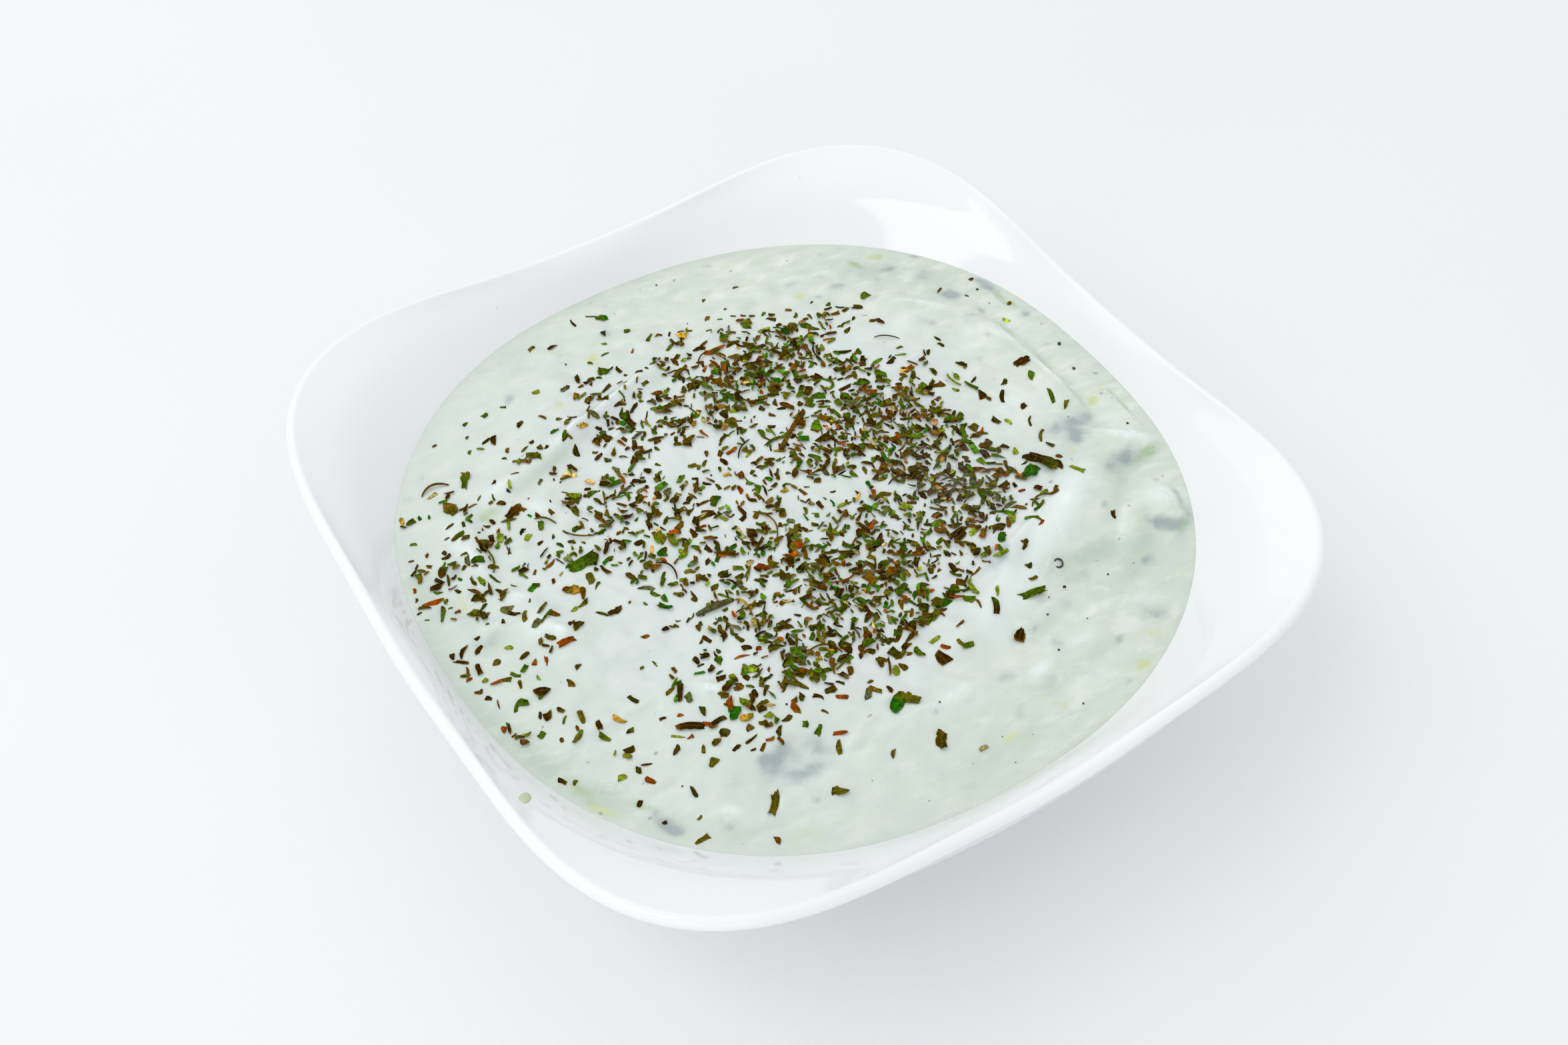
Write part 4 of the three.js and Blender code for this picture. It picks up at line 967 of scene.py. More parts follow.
def inner_controls(azimuth):
    walls = mixed_controls(azimuth, INNER_FLATS, INNER_CORNERS)
    return np.concatenate([walls, lip_touch(azimuth, LIP_SLOPE, 1)], axis=1)


def outer_controls(azimuth):
    walls = mixed_controls(azimuth, OUTER_FLATS, OUTER_CORNERS)
    return np.concatenate([lip_touch(azimuth, UNDERSIDE_SLOPE, -1), walls], axis=1)


def lip_arc(azimuth, steps):
    """The lip's rounding between its two touching points, which are left out."""
    start, end = lip_angle(azimuth, LIP_SLOPE, 1), lip_angle(azimuth, UNDERSIDE_SLOPE, -1)
    turn = mix(start[:, None], end[:, None], np.arange(1, steps)[None] / steps)
    return lip_centre(azimuth)[:, None] + LIP_RADIUS * unit(turn)


def foot_section():
    """The foot ring's rounded edges and the hollow underside, from outside to the axis."""
    def arc(x, y, radius, turn):
        return np.array([x, y]) + radius * unit(turn)

    quarter = np.radians(np.linspace(0, 90, 7))
    fillet = BELLY - FOOT_ROUNDING
    outer = arc(FOOT_OUTER - FOOT_ROUNDING, FOOT_ROUNDING, FOOT_ROUNDING, -quarter)
    inner = arc(FOOT_INNER + FOOT_ROUNDING, FOOT_ROUNDING, FOOT_ROUNDING, -quarter - np.pi / 2)
    belly = arc(FOOT_INNER - fillet, BELLY - fillet, fillet, quarter)
    rest = columns(np.linspace(FOOT_INNER - fillet - 3, 0, 12), np.full(12, BELLY))
    return np.concatenate([outer, inner, belly[1:], rest])


def even_azimuths(steps):
    return np.linspace(0, 2 * np.pi, steps, endpoint=False)


def dish_sections(steps_round, steps_inside=72, steps_lip=20, steps_outside=44):
    """The dish's section at each azimuth, swept round Z: inner wall, lip, outer wall, foot."""
    azimuth = even_azimuths(steps_round)
    inner, outer, foot = inner_controls(azimuth), outer_controls(azimuth), foot_section()
    section = np.concatenate([
        spline(inner, np.linspace(0, inner.shape[1] - 1, steps_inside)),
        lip_arc(azimuth, steps_lip),
        spline(outer, np.linspace(0, outer.shape[1] - 1, steps_outside)),
        np.broadcast_to(foot, (steps_round, *foot.shape)),
    ], axis=1)
    return np.concatenate([section[..., :1] * unit(azimuth)[:, None], section[..., 1:]], axis=-1)


# ---- Dip surface -------------------------------------------------------------------------

def shore_height(azimuth):
    """Height where the dip meets the wall: the level plus a few waves round the circle."""
    waves = (height * np.cos(turns * (azimuth - math.radians(crest)))
             for turns, height, crest in SHORE_WAVES)
    return DIP_LEVEL + sum(waves)


def wall_radius(azimuth, height):
    """Radius of the inner wall at each azimuth and height."""
    controls = inner_controls(azimuth)
    return radius_at(spline(controls, np.linspace(2, controls.shape[1] - 1, 240)), height)


SHORE_AZIMUTH = np.linspace(-np.pi, np.pi, 721)
SHORE_RADIUS = wall_radius(SHORE_AZIMUTH, shore_height(SHORE_AZIMUTH))


def share_to_wall(x, y):
    """How far from the middle (0) to the wall (1) a point lies."""
    return np.hypot(x, y) / np.interp(np.arctan2(y, x), SHORE_AZIMUTH, SHORE_RADIUS)


def mark_height(x, y, marks):
    """Sum of ridges: each is a bell curve of the distance to its line."""
    total = np.zeros_like(x)
    for x0, y0, x1, y1, half_width, height in marks:
        dx, dy = x1 - x0, y1 - y0
        along = np.clip(((x - x0) * dx + (y - y0) * dy) / (dx * dx + dy * dy), 0, 1)
        away = np.hypot(x - mix(x0, x1, along), y - mix(y0, y1, along))
        total += height * np.exp(-((away / half_width) ** 2))
    return total


def turned(x, y, x0, y0, azimuth):
    """Distances from a middle along an azimuth and across it."""
    turn = math.radians(azimuth)
    return ((x - x0) * math.cos(turn) + (y - y0) * math.sin(turn),
            (y - y0) * math.cos(turn) - (x - x0) * math.sin(turn))


def bell(x, y, x0, y0, half_length, half_width, azimuth):
    """1 in the middle of an oval patch, falling as a bell curve."""
    along, across = turned(x, y, x0, y0, azimuth)
    return np.exp(-((along / half_length) ** 2 + (across / half_width) ** 2))


def patch_sum(x, y, rows):
    """Sum of oval patches, each times its strength."""
    return sum((row[5] * bell(x, y, *row[:5]) for row in rows), np.zeros_like(x))


def swell(x, y):
    """Slow swells over the whole dip: a product of two sines and a slanting one."""
    crossed = 0.35 * np.sin(x / 9 + 0.8) * np.cos(y / 11 - 0.4)
    return crossed + 0.2 * np.sin((x - 1.3 * y) / 6.5)


def buried_shreds(count=190, seed=5):
    """Short low ridges where shreds of cucumber lie just under the surface, more of them
    outside the herb field, as rows like the spoon marks."""
    rng = np.random.default_rng(seed)
    azimuth = rng.uniform(-np.pi, np.pi, count)
    radius = 55 * np.sqrt(rng.uniform(0.25, 0.98, count))
    x, y = radius * np.cos(azimuth), radius * np.sin(azimuth)
    turn = rng.normal(-0.1, 0.45, count)
    reach = rng.uniform(0.8, 3.4, count)
    dx, dy = reach * np.cos(turn), reach * np.sin(turn)
    half_width = rng.uniform(0.45, 1.3, count)
    height = rng.uniform(0.05, 0.30, count) * rng.choice([1, 1, 1, -0.8], count)
    return columns(x - dx, y - dy, x + dx, y + dy, half_width, height)


def ripples(x, y, seed=11, waves=26):
    """Fine uneven waves: a sum of sines of random direction and phase, 2 to 7 mm long, whose
    height grows with their length."""
    rng = np.random.default_rng(seed)
    length = rng.uniform(2.2, 7, waves)
    direction = rng.uniform(0, np.pi, waves)
    phase = rng.uniform(0, 2 * np.pi, waves)
    total = np.zeros_like(x)
    for size, turn, start in zip(length, direction, phase):
        along = x * math.cos(turn) + y * math.sin(turn)
        total += size * np.sin(2 * np.pi * along / size + start)
    return 0.004 * total


def drag_lines(x, y):
    """A small patch of parallel lines where the spoon stuck: a sine of the distance across."""
    x0, y0, half_x, half_y, azimuth, spacing, height = DRAG_LINES
    across = turned(x, y, x0, y0, azimuth)[1]
    wave = np.sin(2 * np.pi * across / spacing)
    return height * wave * bell(x, y, x0, y0, half_x, half_y, azimuth)


def surface_height(x, y):
    """Height of the dip at points: from the mound to the wavy shore by the square of the share,
    plus swells, spoon marks and fine relief that fade out at the wall."""
    share = share_to_wall(x, y)
    base = mix(DIP_LEVEL + MOUND, shore_height(np.arctan2(y, x)), share**2)
    coarse = swell(x, y) + mark_height(x, y, SPOON_MARKS)
    fine = mark_height(x, y, FINE_MARKS) + mark_height(x, y, buried_shreds())
    fine = fine + ripples(x, y) + drag_lines(x, y)
    fine = fine + PATCH_RISE * (patch_sum(x, y, THICK_AND_HIGHLIT_PATCHES) - patch_sum(x, y, THIN_AND_SHADED_PATCHES))
    return base + (coarse + fine) * (1 - np.minimum(share, 1) ** FADE_POWER)


def dip_sections(steps_round, steps_out, steps_under=14):
    """The dip's section at each azimuth: its underside from the axis along the wall, and its
    surface from just within the wall back to the axis."""
    azimuth = even_azimuths(steps_round)
    cos, sin = np.cos(azimuth)[:, None], np.sin(azimuth)[:, None]
    edge = wall_radius(azimuth, shore_height(azimuth)) + INTO_WALL
    radius = edge[:, None] * (np.linspace(0, 1, steps_out) ** 0.85)[None]
    height = surface_height(radius * cos, radius * sin)
    top = columns(radius * cos, radius * sin, height)
    controls = inner_controls(azimuth)
    curves = spline(controls, np.linspace(0, controls.shape[1] - 1, 400))
    deeper = np.linspace(0, 1, steps_under)[None, 1:] ** 1.6
    height = mix(height[:, -1:], FLOOR + 0.3, deeper)
    radius = radius_at(curves, height) + INTO_WALL
    radius[:, -1] = 0
    under = columns(radius * cos, radius * sin, height)
    return np.concatenate([top, under], axis=1)[:, ::-1]


def sunk_strength(x, y, kind):
    """How strongly the sunk bits of one kind show at points, with uneven outlines."""
    slow_x, slow_y = 1.3 * np.sin(1.1 * y), 0.7 * np.sin(0.9 * x)
    wobble = 1 + 0.35 * np.sin(1.9 * x + slow_x) * np.cos(1.6 * y - slow_y)
    return np.clip(patch_sum(x, y, SUNK_BITS[kind]) * wobble, 0, 1)


def faint_bits(x, y, count=120, seed=23):
    """Many weak bluish bits deep in the dip, placed by a seeded rule."""
    rng = np.random.default_rng(seed)
    azimuth = rng.uniform(-np.pi, np.pi, count)
    radius = 56 * np.sqrt(rng.uniform(0.02, 0.98, count))
    total = np.zeros_like(x)
    for a, r in zip(azimuth, radius):
        sizes = rng.uniform(0.5, 2.0, 2)
        place = (r * math.cos(a), r * math.sin(a))
        total += rng.uniform(0.05, 0.22) * bell(x, y, *place, *sizes, rng.uniform(0, 180))
    return total


def wall_shred(steps=11):
    """A bit of cucumber that sticks to the inner wall, as points and quads: a disc over azimuth
    and height, whose upper side stands off the wall by the square root of what is left of one
    less the distance squared, and whose underside lies just within the glaze."""
    turn, height = WALL_SHRED
    u, v = np.meshgrid(np.linspace(-1, 1, steps), np.linspace(-1, 1, steps))
    p, q = (u * np.sqrt(1 - v**2 / 2)).ravel(), (v * np.sqrt(1 - u**2 / 2)).ravel()
    sideways = SHRED_ROUND[0] * p + SHRED_ROUND[1] * q + SHRED_BEND * q**2
    azimuth = math.radians(turn) + sideways / SHRED_WALL_RADIUS
    up = height + SHRED_UP[0] * p + SHRED_UP[1] * q + SHRED_BEND * np.sin(3 * p)
    wall = wall_radius(azimuth, up)
    dome = SHRED_DOME * np.sqrt(np.clip(1 - p**2 - q**2, 0, 1))
    sides = [columns(r * np.cos(azimuth), r * np.sin(azimuth), z)
             for r, z in ((wall - dome, up + 0.5 * dome), (wall + SHRED_SUNK, up - 0.1))]
    return np.concatenate(sides), sheet_quads(steps, steps)


# ---- Herbs -------------------------------------------------------------------------------

def rightward_down(x, y):
    """How far a point lies towards azimuth -53."""
    return 0.6 * x - 0.8 * y


def herb_share(x, y, more=()):
    """Share of the surface that herbs hide at a point; more patches may lie beyond the field."""
    x0, y0, half_x, half_y = HERB_FIELD
    patches = patch_sum(x, y, HERB_PATCHES)
    field = np.hypot((x - x0) / half_x, (y - y0) / half_y)
    in_field = 1 - smoothstep(field, 0.9, 1.12)
    ends = smoothstep(rightward_down(x, y), LOWER_RIGHT_END - 3, LOWER_RIGHT_END + 3)
    bare = 1 - 0.97 * bell(x, y, *BARE_PATCH)
    return STRAY_SHARE + (patches * in_field + patch_sum(x, y, more)) * (1 - ends) * bare


def large_herbs():
    """The pieces that the dip's solid carries: (n, 5) of x, y, length, width and turn."""
    numbers = counted_random(LARGE_SEED)
    rows = [(*row[:4], math.radians(row[4])) for row in NOTABLE_HERBS]
    while len(rows) < LARGE_COUNT:
        length = mix(*LARGE_LENGTH, math.sqrt(len(rows) / LARGE_COUNT))
        x = LARGE_SQUARE * (next(numbers) - 0.5)
        y = LARGE_SQUARE * (next(numbers) - 0.5)
        chosen = next(numbers) < herb_share(x, y)
        width = length * mix(*LARGE_WIDTH, next(numbers))
        turn = math.pi * next(numbers)
        clear = all(math.hypot(r[0] - x, r[1] - y) > LARGE_APART * (r[2] + length) for r in rows)
        if chosen and clear and math.hypot(x, y) + length / 2 < LARGE_REACH:
            rows.append((x, y, length, width, turn))
    return np.array(rows)


def lone_herbs():
    long, wide = LONE_SCALE
    return np.array([
        (x, y, long * length, wide * width, math.radians(azimuth))
        for x, y, length, width, azimuth, _ in LONE_HERBS])


def small_herbs(count, rng):
    """Smaller pieces by the same map of shares, no more than one to a square: (n, 5) like the
    large ones. Their lengths are log-normal, and a quarter of the pieces are narrow."""
    x, y = rng.uniform(-SMALL_REACH, SMALL_REACH, (SMALL_PLACES, 2)).T
    wanted = rng.uniform(0, FULL_COVER, len(x)) < herb_share(x, y, SMALL_HERB_PATCHES)
    wanted &= share_to_wall(x, y) < SMALL_TO_WALL
    for x0, x1, y0, y1 in LONE_ZONES:
        wanted &= ~((x > x0) & (x < x1) & (y > y0) & (y < y1))
    x, y = x[wanted][:count], y[wanted][:count]
    squares = np.floor(np.stack([x, y]) / SMALL_SPACING)
    first = np.sort(np.unique(squares, axis=1, return_index=True)[1])
    x, y, count = x[first], y[first], len(first)
    length = SMALL_LENGTH * np.exp(SMALL_SPREAD * rng.standard_normal(count))
    length = np.clip(length, *SMALL_LENGTHS)
    narrow = rng.uniform(size=count) < NARROW_SHARE
    length = np.where(narrow, length * NARROW_STRETCH, length)
    widths = rng.uniform(*NARROW_WIDTH, count), rng.uniform(*BROAD_WIDTH, count)
    ratio = np.where(narrow, *widths)
    return columns(x, y, length, length * ratio, rng.uniform(0, np.pi, count))


def piled(rows, rng):
    """How high each piece lies above the dip, on the pieces strewn before it."""
    heap = np.zeros((int(2 * PILE_HALF / PILE_CELL),) * 2)
    base = np.zeros(len(rows))
    for i, (x, y, length, width, _) in enumerate(rows):
        reach = max(1, round(PILE_REACH * (length + width) / 2 / PILE_CELL))
        col, row = (int((place + PILE_HALF) / PILE_CELL) for place in (x, y))
        spot = heap[max(row - reach, 0):row + reach + 1, max(col - reach, 0):col + reach + 1]
        base[i] = PILE_SHARE * spot.max()
        spot[:] = np.maximum(spot, base[i] + rng.uniform(*PILE_STEP))
    return np.minimum(base, PILE_TOP)


def leaf_pieces(rows, base, rng, across, along):
    """Points, quads and uv of many thin crumbled leaves.

    Each piece is a grid of u and v from -1 to 1. Its half width runs from one end's share to
    the other's and bulges between them by 1 less u squared; its ends are slanted, rounded by v
    squared and shifted sideways by u squared; its outline is a little torn. Its height is curl
    times u squared, twist times u times v, a fold by the distance to its rib, and noise. It is
    tilted, turned, laid on the dip so that no point is under it, and given an underside and a
    rim.
    """
    count = len(rows)

    def spread(size, numbers=1):
        return rng.normal(0, size, (count, numbers))

    def between(low, high):
        return rng.uniform(low, high, (count, 1))

    u, v = np.meshgrid(np.linspace(-1, 1, along), np.linspace(-1, 1, across))
    u, v = u.ravel(), v.ravel()
    x0, y0, length, width, turn = rows.T[:, :, None]
    ends = rng.uniform(*LEAF_ENDS, (2, count, 1))
    bulge = between(*LEAF_BULGE) * (1 - ends.mean(axis=0)) * (1 - u**2)
    share = mix(ends[0], ends[1], (u + 1) / 2) + bulge
    slant = spread(LEAF_SLANT) + spread(LEAF_SLANT) * u
    outline = np.maximum(np.abs(u), np.abs(v)) > 0.99
    torn = rng.normal(0, LEAF_TORN, (2, count, len(u))) * outline
    size = np.minimum(width, 0.8 * length)
    px = length / 2 * (u * (1 - between(*LEAF_ROUNDED) * v**2) + torn[0])
    px = px + slant * v * share * size / 2
    py = width / 2 * (v * share + torn[1]) + spread(LEAF_SHIFT) * u**2 * length
    bend = spread(LEAF_CURL) * u**2 * length
    bend = bend + spread(LEAF_TWIST) * u * v * size
    bend = bend + between(*LEAF_FOLD) * np.abs(v) * size
    bend = bend + spread(LEAF_CREASES, len(u)) * size
    tilt_x, tilt_y = (np.radians(spread(tilt)) for tilt in LEAF_TILTS)
    pz = bend + np.sin(tilt_x) * py + np.sin(tilt_y) * px
    x = x0 + px * np.cos(turn) - py * np.sin(turn)
    y = y0 + px * np.sin(turn) + py * np.cos(turn)
    z = surface_height(x, y) + base[:, None] + LEAF_GAP
    z = z + LEAF_RELIEF * (pz - pz.min(axis=1, keepdims=True))
    sides = [columns(x, y, z), columns(x, y, z - between(*LEAF_THICKNESS))]
    points = np.concatenate(sides, axis=1).reshape(-1, 3)
    starts = (2 * len(u) * np.arange(count))[:, None, None]
    quads = (sheet_quads(across, along)[None] + starts).reshape(-1, 4)
    uv = np.tile(columns((u + 1) / 2, (v + 1) / 2), (2 * count, 1))
    return points, quads, uv


def leaf_tints(count, rng):
    """A colour for each piece, drawn by the colours' shares, each a little lighter or darker."""
    colours, shares = (np.array(column) for column in zip(*HERB_COLOURS.values()))
    drawn = colours[rng.choice(len(colours), count, p=shares / shares.sum())]
    for channels, size in zip((1, 3), TINT_SPREADS):
        drawn = drawn * np.exp(rng.normal(0, size, (count, channels)))
    return drawn


def add_leaves(name, rows, base, tints, rng, across, along):
    """Leaves that run from their own tint towards another one along their length."""
    points, quads, uv = leaf_pieces(rows, base, rng, across, along)
    piece = mesh_object(name, points, quads, smooth=False)
    count, per = len(rows), len(points) // len(rows)
    far = leaf_tints(count, rng)[:, None]
    along_leaf = uv[:, 0].reshape(count, per, 1)
    share = rng.uniform(*SECOND_TINT, (count, 1, 1)) * smoothstep(along_leaf, 0.35, 1.0)
    tint = mix(tints[:, None], far, share)
    tint = tint * np.exp(rng.normal(0, TINT_SPREADS[2], (count, per, 1)))
    set_point_attribute(piece, "tint", tint.reshape(-1, 3))
    corners = np.empty(len(piece.data.loops), np.int32)
    piece.data.loops.foreach_get("vertex_index", corners)
    layer = piece.data.uv_layers.new(name="leaf")
    layer.data.foreach_set("uv", uv[corners].astype(np.float32).ravel())
    return piece


# ---- Stalks and grains -------------------------------------------------------------------

def tube(path, radius, sides=8):
    """Points, quads and triangles of a closed tube along a path: rings of a circle across the
    path's direction, closed to a point at both ends. path is (n, 3) and radius (n,)."""
    along = np.gradient(path, axis=0)
    along /= np.linalg.norm(along, axis=1, keepdims=True)
    side = np.cross(along, [0, 0, 1.0])
    side /= np.linalg.norm(side, axis=1, keepdims=True)
    up = np.cross(side, along)
    turn = even_azimuths(sides)[None, :, None]
    rings = path[:, None] + radius[:, None, None] * (
        side[:, None] * np.cos(turn) + up[:, None] * np.sin(turn))
    points = np.concatenate([rings.reshape(-1, 3), path[:1], path[-1:]])
    return points, *ring_faces(np.arange(len(path) * sides).reshape(-1, sides))


def stalk_path(x, y, radius, start, sweep, steps=14):
    """An arc that lies on the dip and lifts a little in the middle."""
    along = np.linspace(0, 1, steps)
    turn = np.radians(start + sweep * along)
    px, py = x + radius * np.cos(turn), y + radius * np.sin(turn)
    lift = 0.12 + 0.35 * np.sin(np.pi * along)
    return columns(px, py, surface_height(px, py) + lift)


def stalks():
    """Points, quads, triangles and tints of all stalks: tubes that taper by the third power of
    the distance from their middle."""
    shapes, tints, start = [], [], 0
    for *arc, thickness, colour in STALKS:
        path = stalk_path(*arc)
        taper = 1 - 0.45 * np.abs(np.linspace(-1, 1, len(path))) ** 3
        points, quads, triangles = tube(path, thickness / 2 * taper)
        shapes.append((points, quads + start, triangles + start))
        tints.append(np.tile(HERB_COLOURS[colour][0], (len(points), 1)))
        start += len(points)
    return (*(np.concatenate(parts) for parts in zip(*shapes)), np.concatenate(tints))


def pebble(sides=6):
    """Points, quads and triangles of a six-sided grain: rings at three heights and two poles."""
    x, y = unit(even_azimuths(sides)).T
    rings = [columns(r * x, r * y, np.full(sides, z)) for r, z in ((0.8, -0.6), (1, 0), (0.8, 0.6))]
    points = np.concatenate([*rings, [[0, 0, -1]], [[0, 0, 1]]])
    return points, *ring_faces(np.arange(3 * sides).reshape(3, sides))


def grains(count, rng):
    """Points, quads, triangles and tints of ground pepper and spice, more of it towards the
    lower right, half sunk."""
    points, quads, triangles = pebble()
    x, y = rng.uniform(-GRAIN_SQUARE, GRAIN_SQUARE, (2, 12 * count))
    likely = 0.25 + 0.5 * smoothstep(rightward_down(x, y), 0, 40)
    keep = (share_to_wall(x, y) < GRAIN_TO_WALL) & (rng.uniform(size=len(x)) < likely)
    x, y = x[keep][:count], y[keep][:count]
    count = len(x)
    size = np.clip(GRAIN_SIZE * np.exp(GRAIN_SPREAD * rng.standard_normal(count)), *GRAIN_SIZES)
    shape = points[None] * rng.uniform(0.75, 1.25, (count, 1, 3))
    shape = shape * rng.uniform(0.8, 1.2, (count, len(points), 1))
    centre = columns(x, y, surface_height(x, y) + GRAIN_HEIGHT * size)
    placed = (shape * size[:, None, None] + centre[:, None]).reshape(-1, 3)
    starts = (len(points) * np.arange(count))[:, None, None]
    faces = ((group + starts).reshape(-1, group.shape[1]) for group in (quads, triangles))
    tint = np.array(PEPPER_COLOURS)[rng.choice(len(PEPPER_COLOURS), count, p=PEPPER_SHARES)]
    return placed, *faces, np.repeat(tint, len(points), axis=0)


# ---- Camera, floor and light -------------------------------------------------------------

def camera_axes():
    """The camera's right, up and forward directions."""
    e = math.radians(CAMERA_ELEVATION)
    forward = Vector((0, math.cos(e), -math.sin(e)))
    right = Vector((1, 0, 0))
    up = right.cross(forward)
    roll = Matrix.Rotation(math.radians(-CAMERA_ROLL), 3, forward)
    turn = Matrix.Rotation(math.radians(CAMERA_AZIMUTH), 3, "Z")
    return [turn @ roll @ right, turn @ roll @ up, turn @ forward]


def make_camera():
    right, up, forward = camera_axes()
    pixels = FOCAL_LENGTH / SENSOR_WIDTH * IMAGE_SIZE[0]
    across, down = ((pixel - side / 2) / pixels for pixel, side in zip(MIDDLE_PIXEL, IMAGE_SIZE))
    ray = forward + right * across - up * down
    data = bpy.data.cameras.new("camera")
    data.lens, data.sensor_width = FOCAL_LENGTH, SENSOR_WIDTH
    data.clip_start = 0.01
    camera = add_to_scene("camera", data)
    place = Matrix.Translation((Vector((0, 0, DIP_LEVEL)) - ray * CAMERA_DISTANCE) * MM)
    camera.matrix_world = place @ Matrix((right, up, -forward)).transposed().to_4x4()
    bpy.context.scene.camera = camera


def make_floor(colour):
    """A pale sheet that is flat round the dish and curves up far behind it on every side: its
    height is the rise times the sixth power of the distance's share."""
    steps = np.linspace(-1, 1, FLOOR_POINTS) * FLOOR_HALF
    x, y = np.meshgrid(steps, steps)
    z = FLOOR_RISE * (np.hypot(x, y) / (1.42 * FLOOR_HALF)) ** 6
    grid = np.arange(x.size).reshape(x.shape)
    floor = mesh_object("floor", columns(x, y, z).reshape(-1, 3), grid_quads(grid))
    floor.data.materials.append(pale_floor(colour))


def area_light(name, power, azimuth, elevation, distance, size):
    """A soft box that looks at the dish from a camera-like direction; lengths in millimetres."""
    a, e = math.radians(azimuth), math.radians(elevation)
    away = Vector((math.sin(a) * math.cos(e), -math.cos(a) * math.cos(e), math.sin(e)))
    data = bpy.data.lights.new(name, "AREA")
    data.shape = "RECTANGLE"
    data.size, data.size_y = (s * MM for s in size)
    data.energy = power
    light = add_to_scene(name, data)
    light.location = (Vector((0, 0, DIP_LEVEL)) + away * distance) * MM
    light.rotation_euler = away.to_track_quat("Z", "Y").to_euler()


def make_sky(strength):
    world = bpy.data.worlds.new("soft surroundings")
    world.use_nodes = True
    background = world.node_tree.nodes["Background"]
    background.inputs["Color"].default_value = (*SKY_COLOUR, 1)
    background.inputs["Strength"].default_value = strength
    bpy.context.scene.world = world


# ---- Settings ----------------------------------------------------------------------------

def colour_property(name, description, default):
    return bpy.props.FloatVectorProperty(
        name=name, description=description, default=default, size=3, min=0, max=1, subtype="COLOR")


def count_property(name, description, default, low, high):
    return bpy.props.IntProperty(
        name=name, description=description, default=default, min=low, max=high, subtype="UNSIGNED")


def power_property(name, description, default):
    return bpy.props.FloatProperty(
        name=name, description=description, default=default, min=0, unit="POWER")


class DishSettings(bpy.types.PropertyGroup):
    glaze: colour_property("Glaze", "Colour of the glazed porcelain", (0.872, 0.876, 0.886))
    roughness: bpy.props.FloatProperty(
        name="Roughness", description="How dull the glaze is", default=0.09, min=0, max=1,
        subtype="FACTOR")
    steps_round: count_property("Steps round", "Steps of the mesh round the dish", 288, 64, 512)


class DipSettings(bpy.types.PropertyGroup):
    cream: colour_property("Cream", "Colour of the yoghurt", (0.665, 0.722, 0.698))
    steps_round: count_property("Steps round", "Steps of the mesh round the dip", 432, 64, 512)
    steps_out: count_property("Steps outwards", "Steps from the middle to the wall", 168, 20, 200)


class HerbSettings(bpy.types.PropertyGroup):
    small_count: count_property(
        "Small pieces", "How many small leaf fragments are strewn", SMALL_COUNT, 0, 4200)
    grain_count: count_property(
        "Grains", "How many grains of pepper are strewn", GRAIN_COUNT, 0, 500)
    seed: count_property("Seed", "Seed of the random draws", 31, 0, 9999)


class StageSettings(bpy.types.PropertyGroup):
    floor: colour_property("Floor", "Colour of the ground", (0.862, 0.864, 0.874))
    sky: bpy.props.FloatProperty(
        name="Surroundings", description="Brightness of the soft light from all round",
        default=0.87, min=0)
    window: power_property("Window", "Power of the window light", 1.5)
    back: power_property("Back light", "Power of the light from behind", 2.2)
    low: power_property("Low light", "Power of the light low at the left", 1.2)


# ---- Operators ---------------------------------------------------------------------------

class DIP_OT_make_dish(bpy.types.Operator):
    """Make the porcelain dish"""

    bl_idname = "dip.make_dish"
    bl_label = "Make dish"

    def execute(self, context):
        settings = context.scene.dip_dish
        shape = closed_of_revolution(dish_sections(settings.steps_round))
        dish = mesh_object("porcelain_dish", *shape)
        glaze = glazed_porcelain(tuple(settings.glaze), settings.roughness)
        place_in_part(dish, glaze, "bowl")
        return {"FINISHED"}


class DIP_OT_make_cream(bpy.types.Operator):
    """Make the yoghurt with its spoon marks and sunk cucumber, and the shred on the wall"""

    bl_idname = "dip.make_cream"
    bl_label = "Make cream"

    def execute(self, context):
        settings = context.scene.dip_cream
        shape = closed_of_revolution(dip_sections(settings.steps_round, settings.steps_out))
        cream = mesh_object("yoghurt", *shape)
        x, y, z = shape[0].T
        strengths = {kind: sunk_strength(x, y, kind) for kind in SUNK_BITS}
        strengths["skin"] = strengths["skin"] + faint_bits(x, y)
        # The thick attribute carries whiter yoghurt and painted highlights, the thin one thinner
        # dip and painted shade.
        for name, rows in (("thick", THICK_AND_HIGHLIT_PATCHES), ("thin", THIN_AND_SHADED_PATCHES), ("lumps", LUMPS)):
            strengths[name] = patch_sum(x, y, rows)
        for name, strength in strengths.items():
            set_point_attribute(cream, name, np.clip(strength, 0, 1) * (z > DIP_LEVEL - TOP_DEPTH))
        set_point_attribute(cream, "edge", smoothstep(share_to_wall(x, y), *EDGE_BAND))
        place_in_part(cream, herbed_cream(tuple(settings.cream)), "dip")
        shred = mesh_object("cucumber_shred", *wall_shred())
        place_in_part(shred, cucumber_flesh())
        return {"FINISHED"}


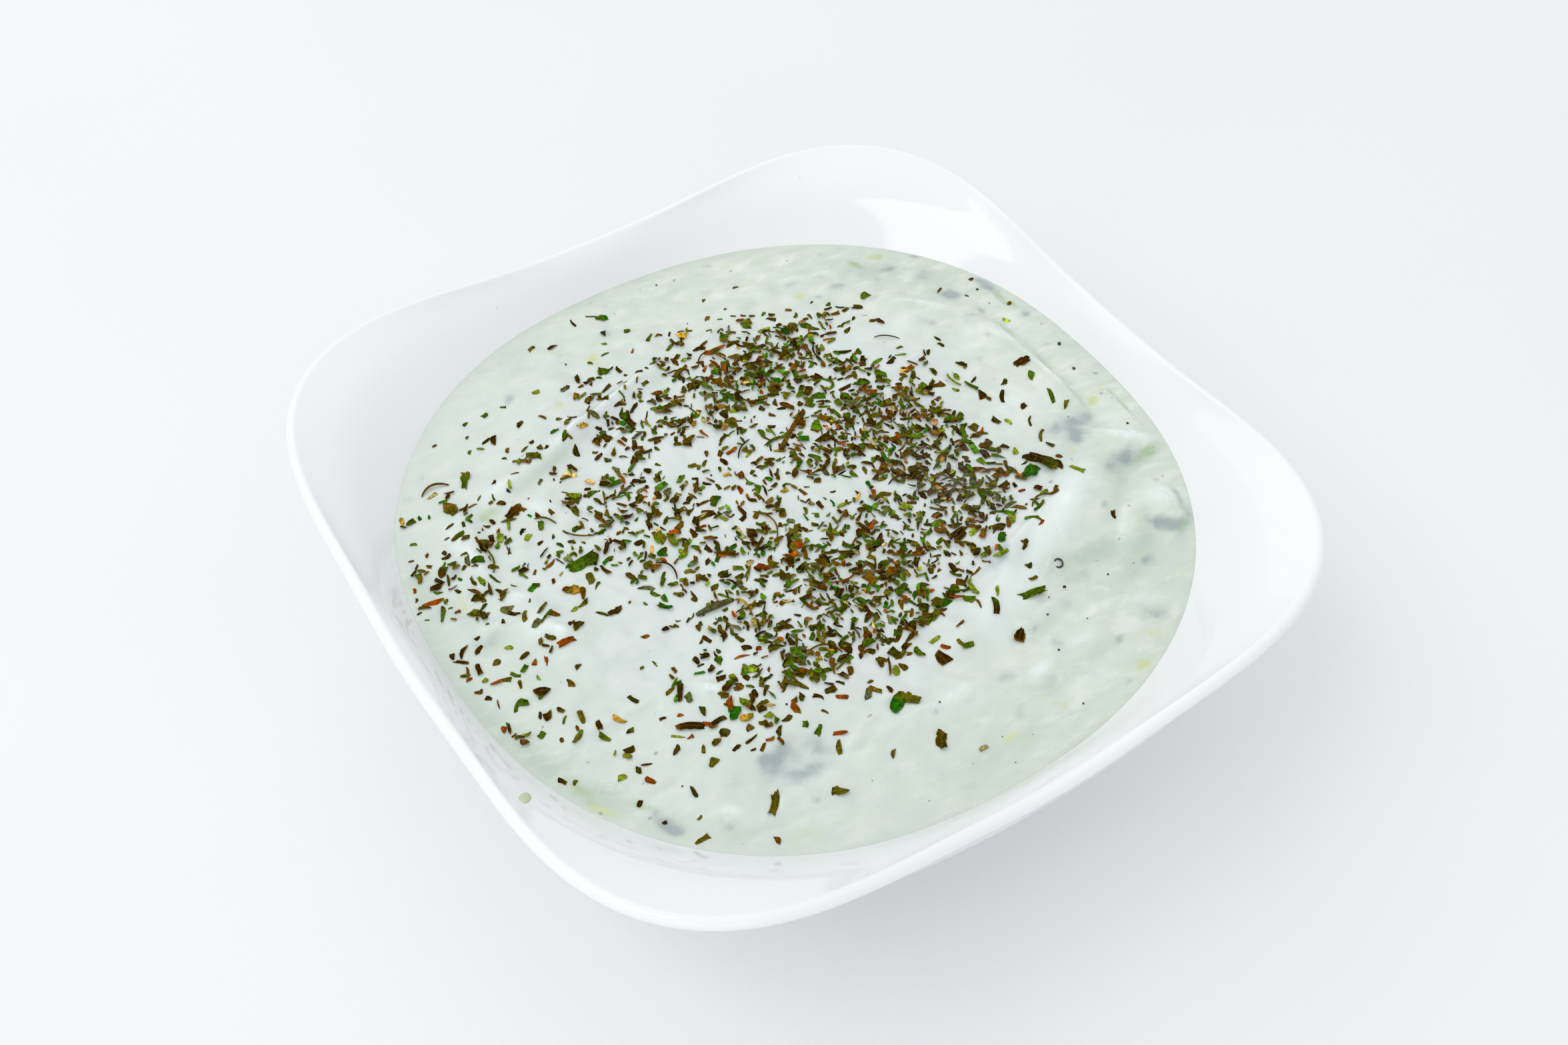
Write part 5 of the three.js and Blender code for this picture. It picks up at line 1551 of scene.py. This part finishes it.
class DIP_OT_strew_herbs(bpy.types.Operator):
    """Strew the dried herbs, large and small, and the stalks"""

    bl_idname = "dip.strew_herbs"
    bl_label = "Strew herbs"

    def execute(self, context):
        settings = context.scene.dip_herbs
        rng = np.random.default_rng(settings.seed)
        notable = NOTABLE_HERBS[1:]  # the first is the stem, which is one of the stalks
        large, lone = large_herbs()[1:], lone_herbs()
        large[len(notable):, 2:4] *= LARGE_SCALE
        rows = np.concatenate([large, lone, small_herbs(settings.small_count, rng)])
        tints = leaf_tints(len(rows), rng)
        for start, named in ((0, notable), (len(large), LONE_HERBS)):
            tints[start:start + len(named)] = [HERB_COLOURS[row[-1]][0] for row in named]
        grey = 0.75 * bell(*rows[:, :2].T, *GREY_PATCH) * rng.uniform(0, 1, len(rows))
        tints = mix(tints, GREY_TINT, grey[:, None])
        base = piled(rows, rng)
        pieces = [
            add_leaves(name, rows[part], base[part], tints[part], rng, across, along)
            for name, part, across, along in (
                ("large_herb_leaves", slice(None, len(large)), 5, 7),
                ("small_herb_leaves", slice(len(large), None), 3, 4))]
        *shape, tints = stalks()
        pieces.append(mesh_object("herb_stalks", *shape))
        set_point_attribute(pieces[-1], "tint", tints)
        pieces[-1].data.uv_layers.new(name="leaf")
        leaf = dried_leaf()
        for piece in pieces:
            place_in_part(piece, leaf, "dip")
        return {"FINISHED"}


class DIP_OT_strew_grains(bpy.types.Operator):
    """Strew ground pepper and the small ring of peppercorn"""

    bl_idname = "dip.strew_grains"
    bl_label = "Strew grains"

    def execute(self, context):
        settings = context.scene.dip_herbs
        *shape, tints = grains(settings.grain_count, np.random.default_rng(settings.seed + 1))
        pepper = mesh_object("pepper_grains", *shape, smooth=False)
        set_point_attribute(pepper, "tint", tints)
        path = stalk_path(*PEPPER_RING, PEPPER_RING_STEPS)
        path[:, 2] -= PEPPER_RING_SUNK
        shape = tube(path, np.full(len(path), PEPPER_RING_THICKNESS / 2))
        ring = mesh_object("peppercorn_ring", *shape)
        set_point_attribute(ring, "tint", np.tile(PEPPER_RING_COLOUR, (len(shape[0]), 1)))
        material = ground_pepper()
        for piece in (pepper, ring):
            place_in_part(piece, material, "dip")
        return {"FINISHED"}


class DIP_OT_set_stage(bpy.types.Operator):
    """Set the camera, the floor and the lights"""

    bl_idname = "dip.set_stage"
    bl_label = "Set stage"

    def execute(self, context):
        settings = context.scene.dip_stage
        make_camera()
        make_floor(tuple(settings.floor))
        make_sky(settings.sky)
        for name, place in LIGHTS.items():
            area_light(name, getattr(settings, name.split()[0]), *place)
        context.scene.view_settings.view_transform = "Standard"
        return {"FINISHED"}


STEPS = (
    DIP_OT_make_dish, DIP_OT_make_cream, DIP_OT_strew_herbs, DIP_OT_strew_grains, DIP_OT_set_stage)


class DIP_PT_panel(bpy.types.Panel):
    """Lists the steps and their settings"""

    bl_idname = "DIP_PT_panel"
    bl_label = "Herbed cucumber dip"
    bl_space_type = "VIEW_3D"
    bl_region_type = "UI"
    bl_category = "Dip"

    def draw(self, context):
        for name in SETTINGS:
            group, box = getattr(context.scene, name), self.layout.box()
            for setting in group.__annotations__:
                box.prop(group, setting)
        for step in STEPS:
            self.layout.operator(step.bl_idname)


SETTINGS = {
    "dip_dish": DishSettings,
    "dip_cream": DipSettings,
    "dip_herbs": HerbSettings,
    "dip_stage": StageSettings,
}


def register():
    for cls in (*SETTINGS.values(), *STEPS, DIP_PT_panel):
        bpy.utils.register_class(cls)
    for name, cls in SETTINGS.items():
        setattr(bpy.types.Scene, name, bpy.props.PointerProperty(type=cls))


def unregister():
    for name in SETTINGS:
        delattr(bpy.types.Scene, name)
    for cls in reversed((*SETTINGS.values(), *STEPS, DIP_PT_panel)):
        bpy.utils.unregister_class(cls)


def main():
    register()
    for step in STEPS:
        group, name = step.bl_idname.split(".")
        getattr(getattr(bpy.ops, group), name)()


if __name__ == "__main__":
    main()
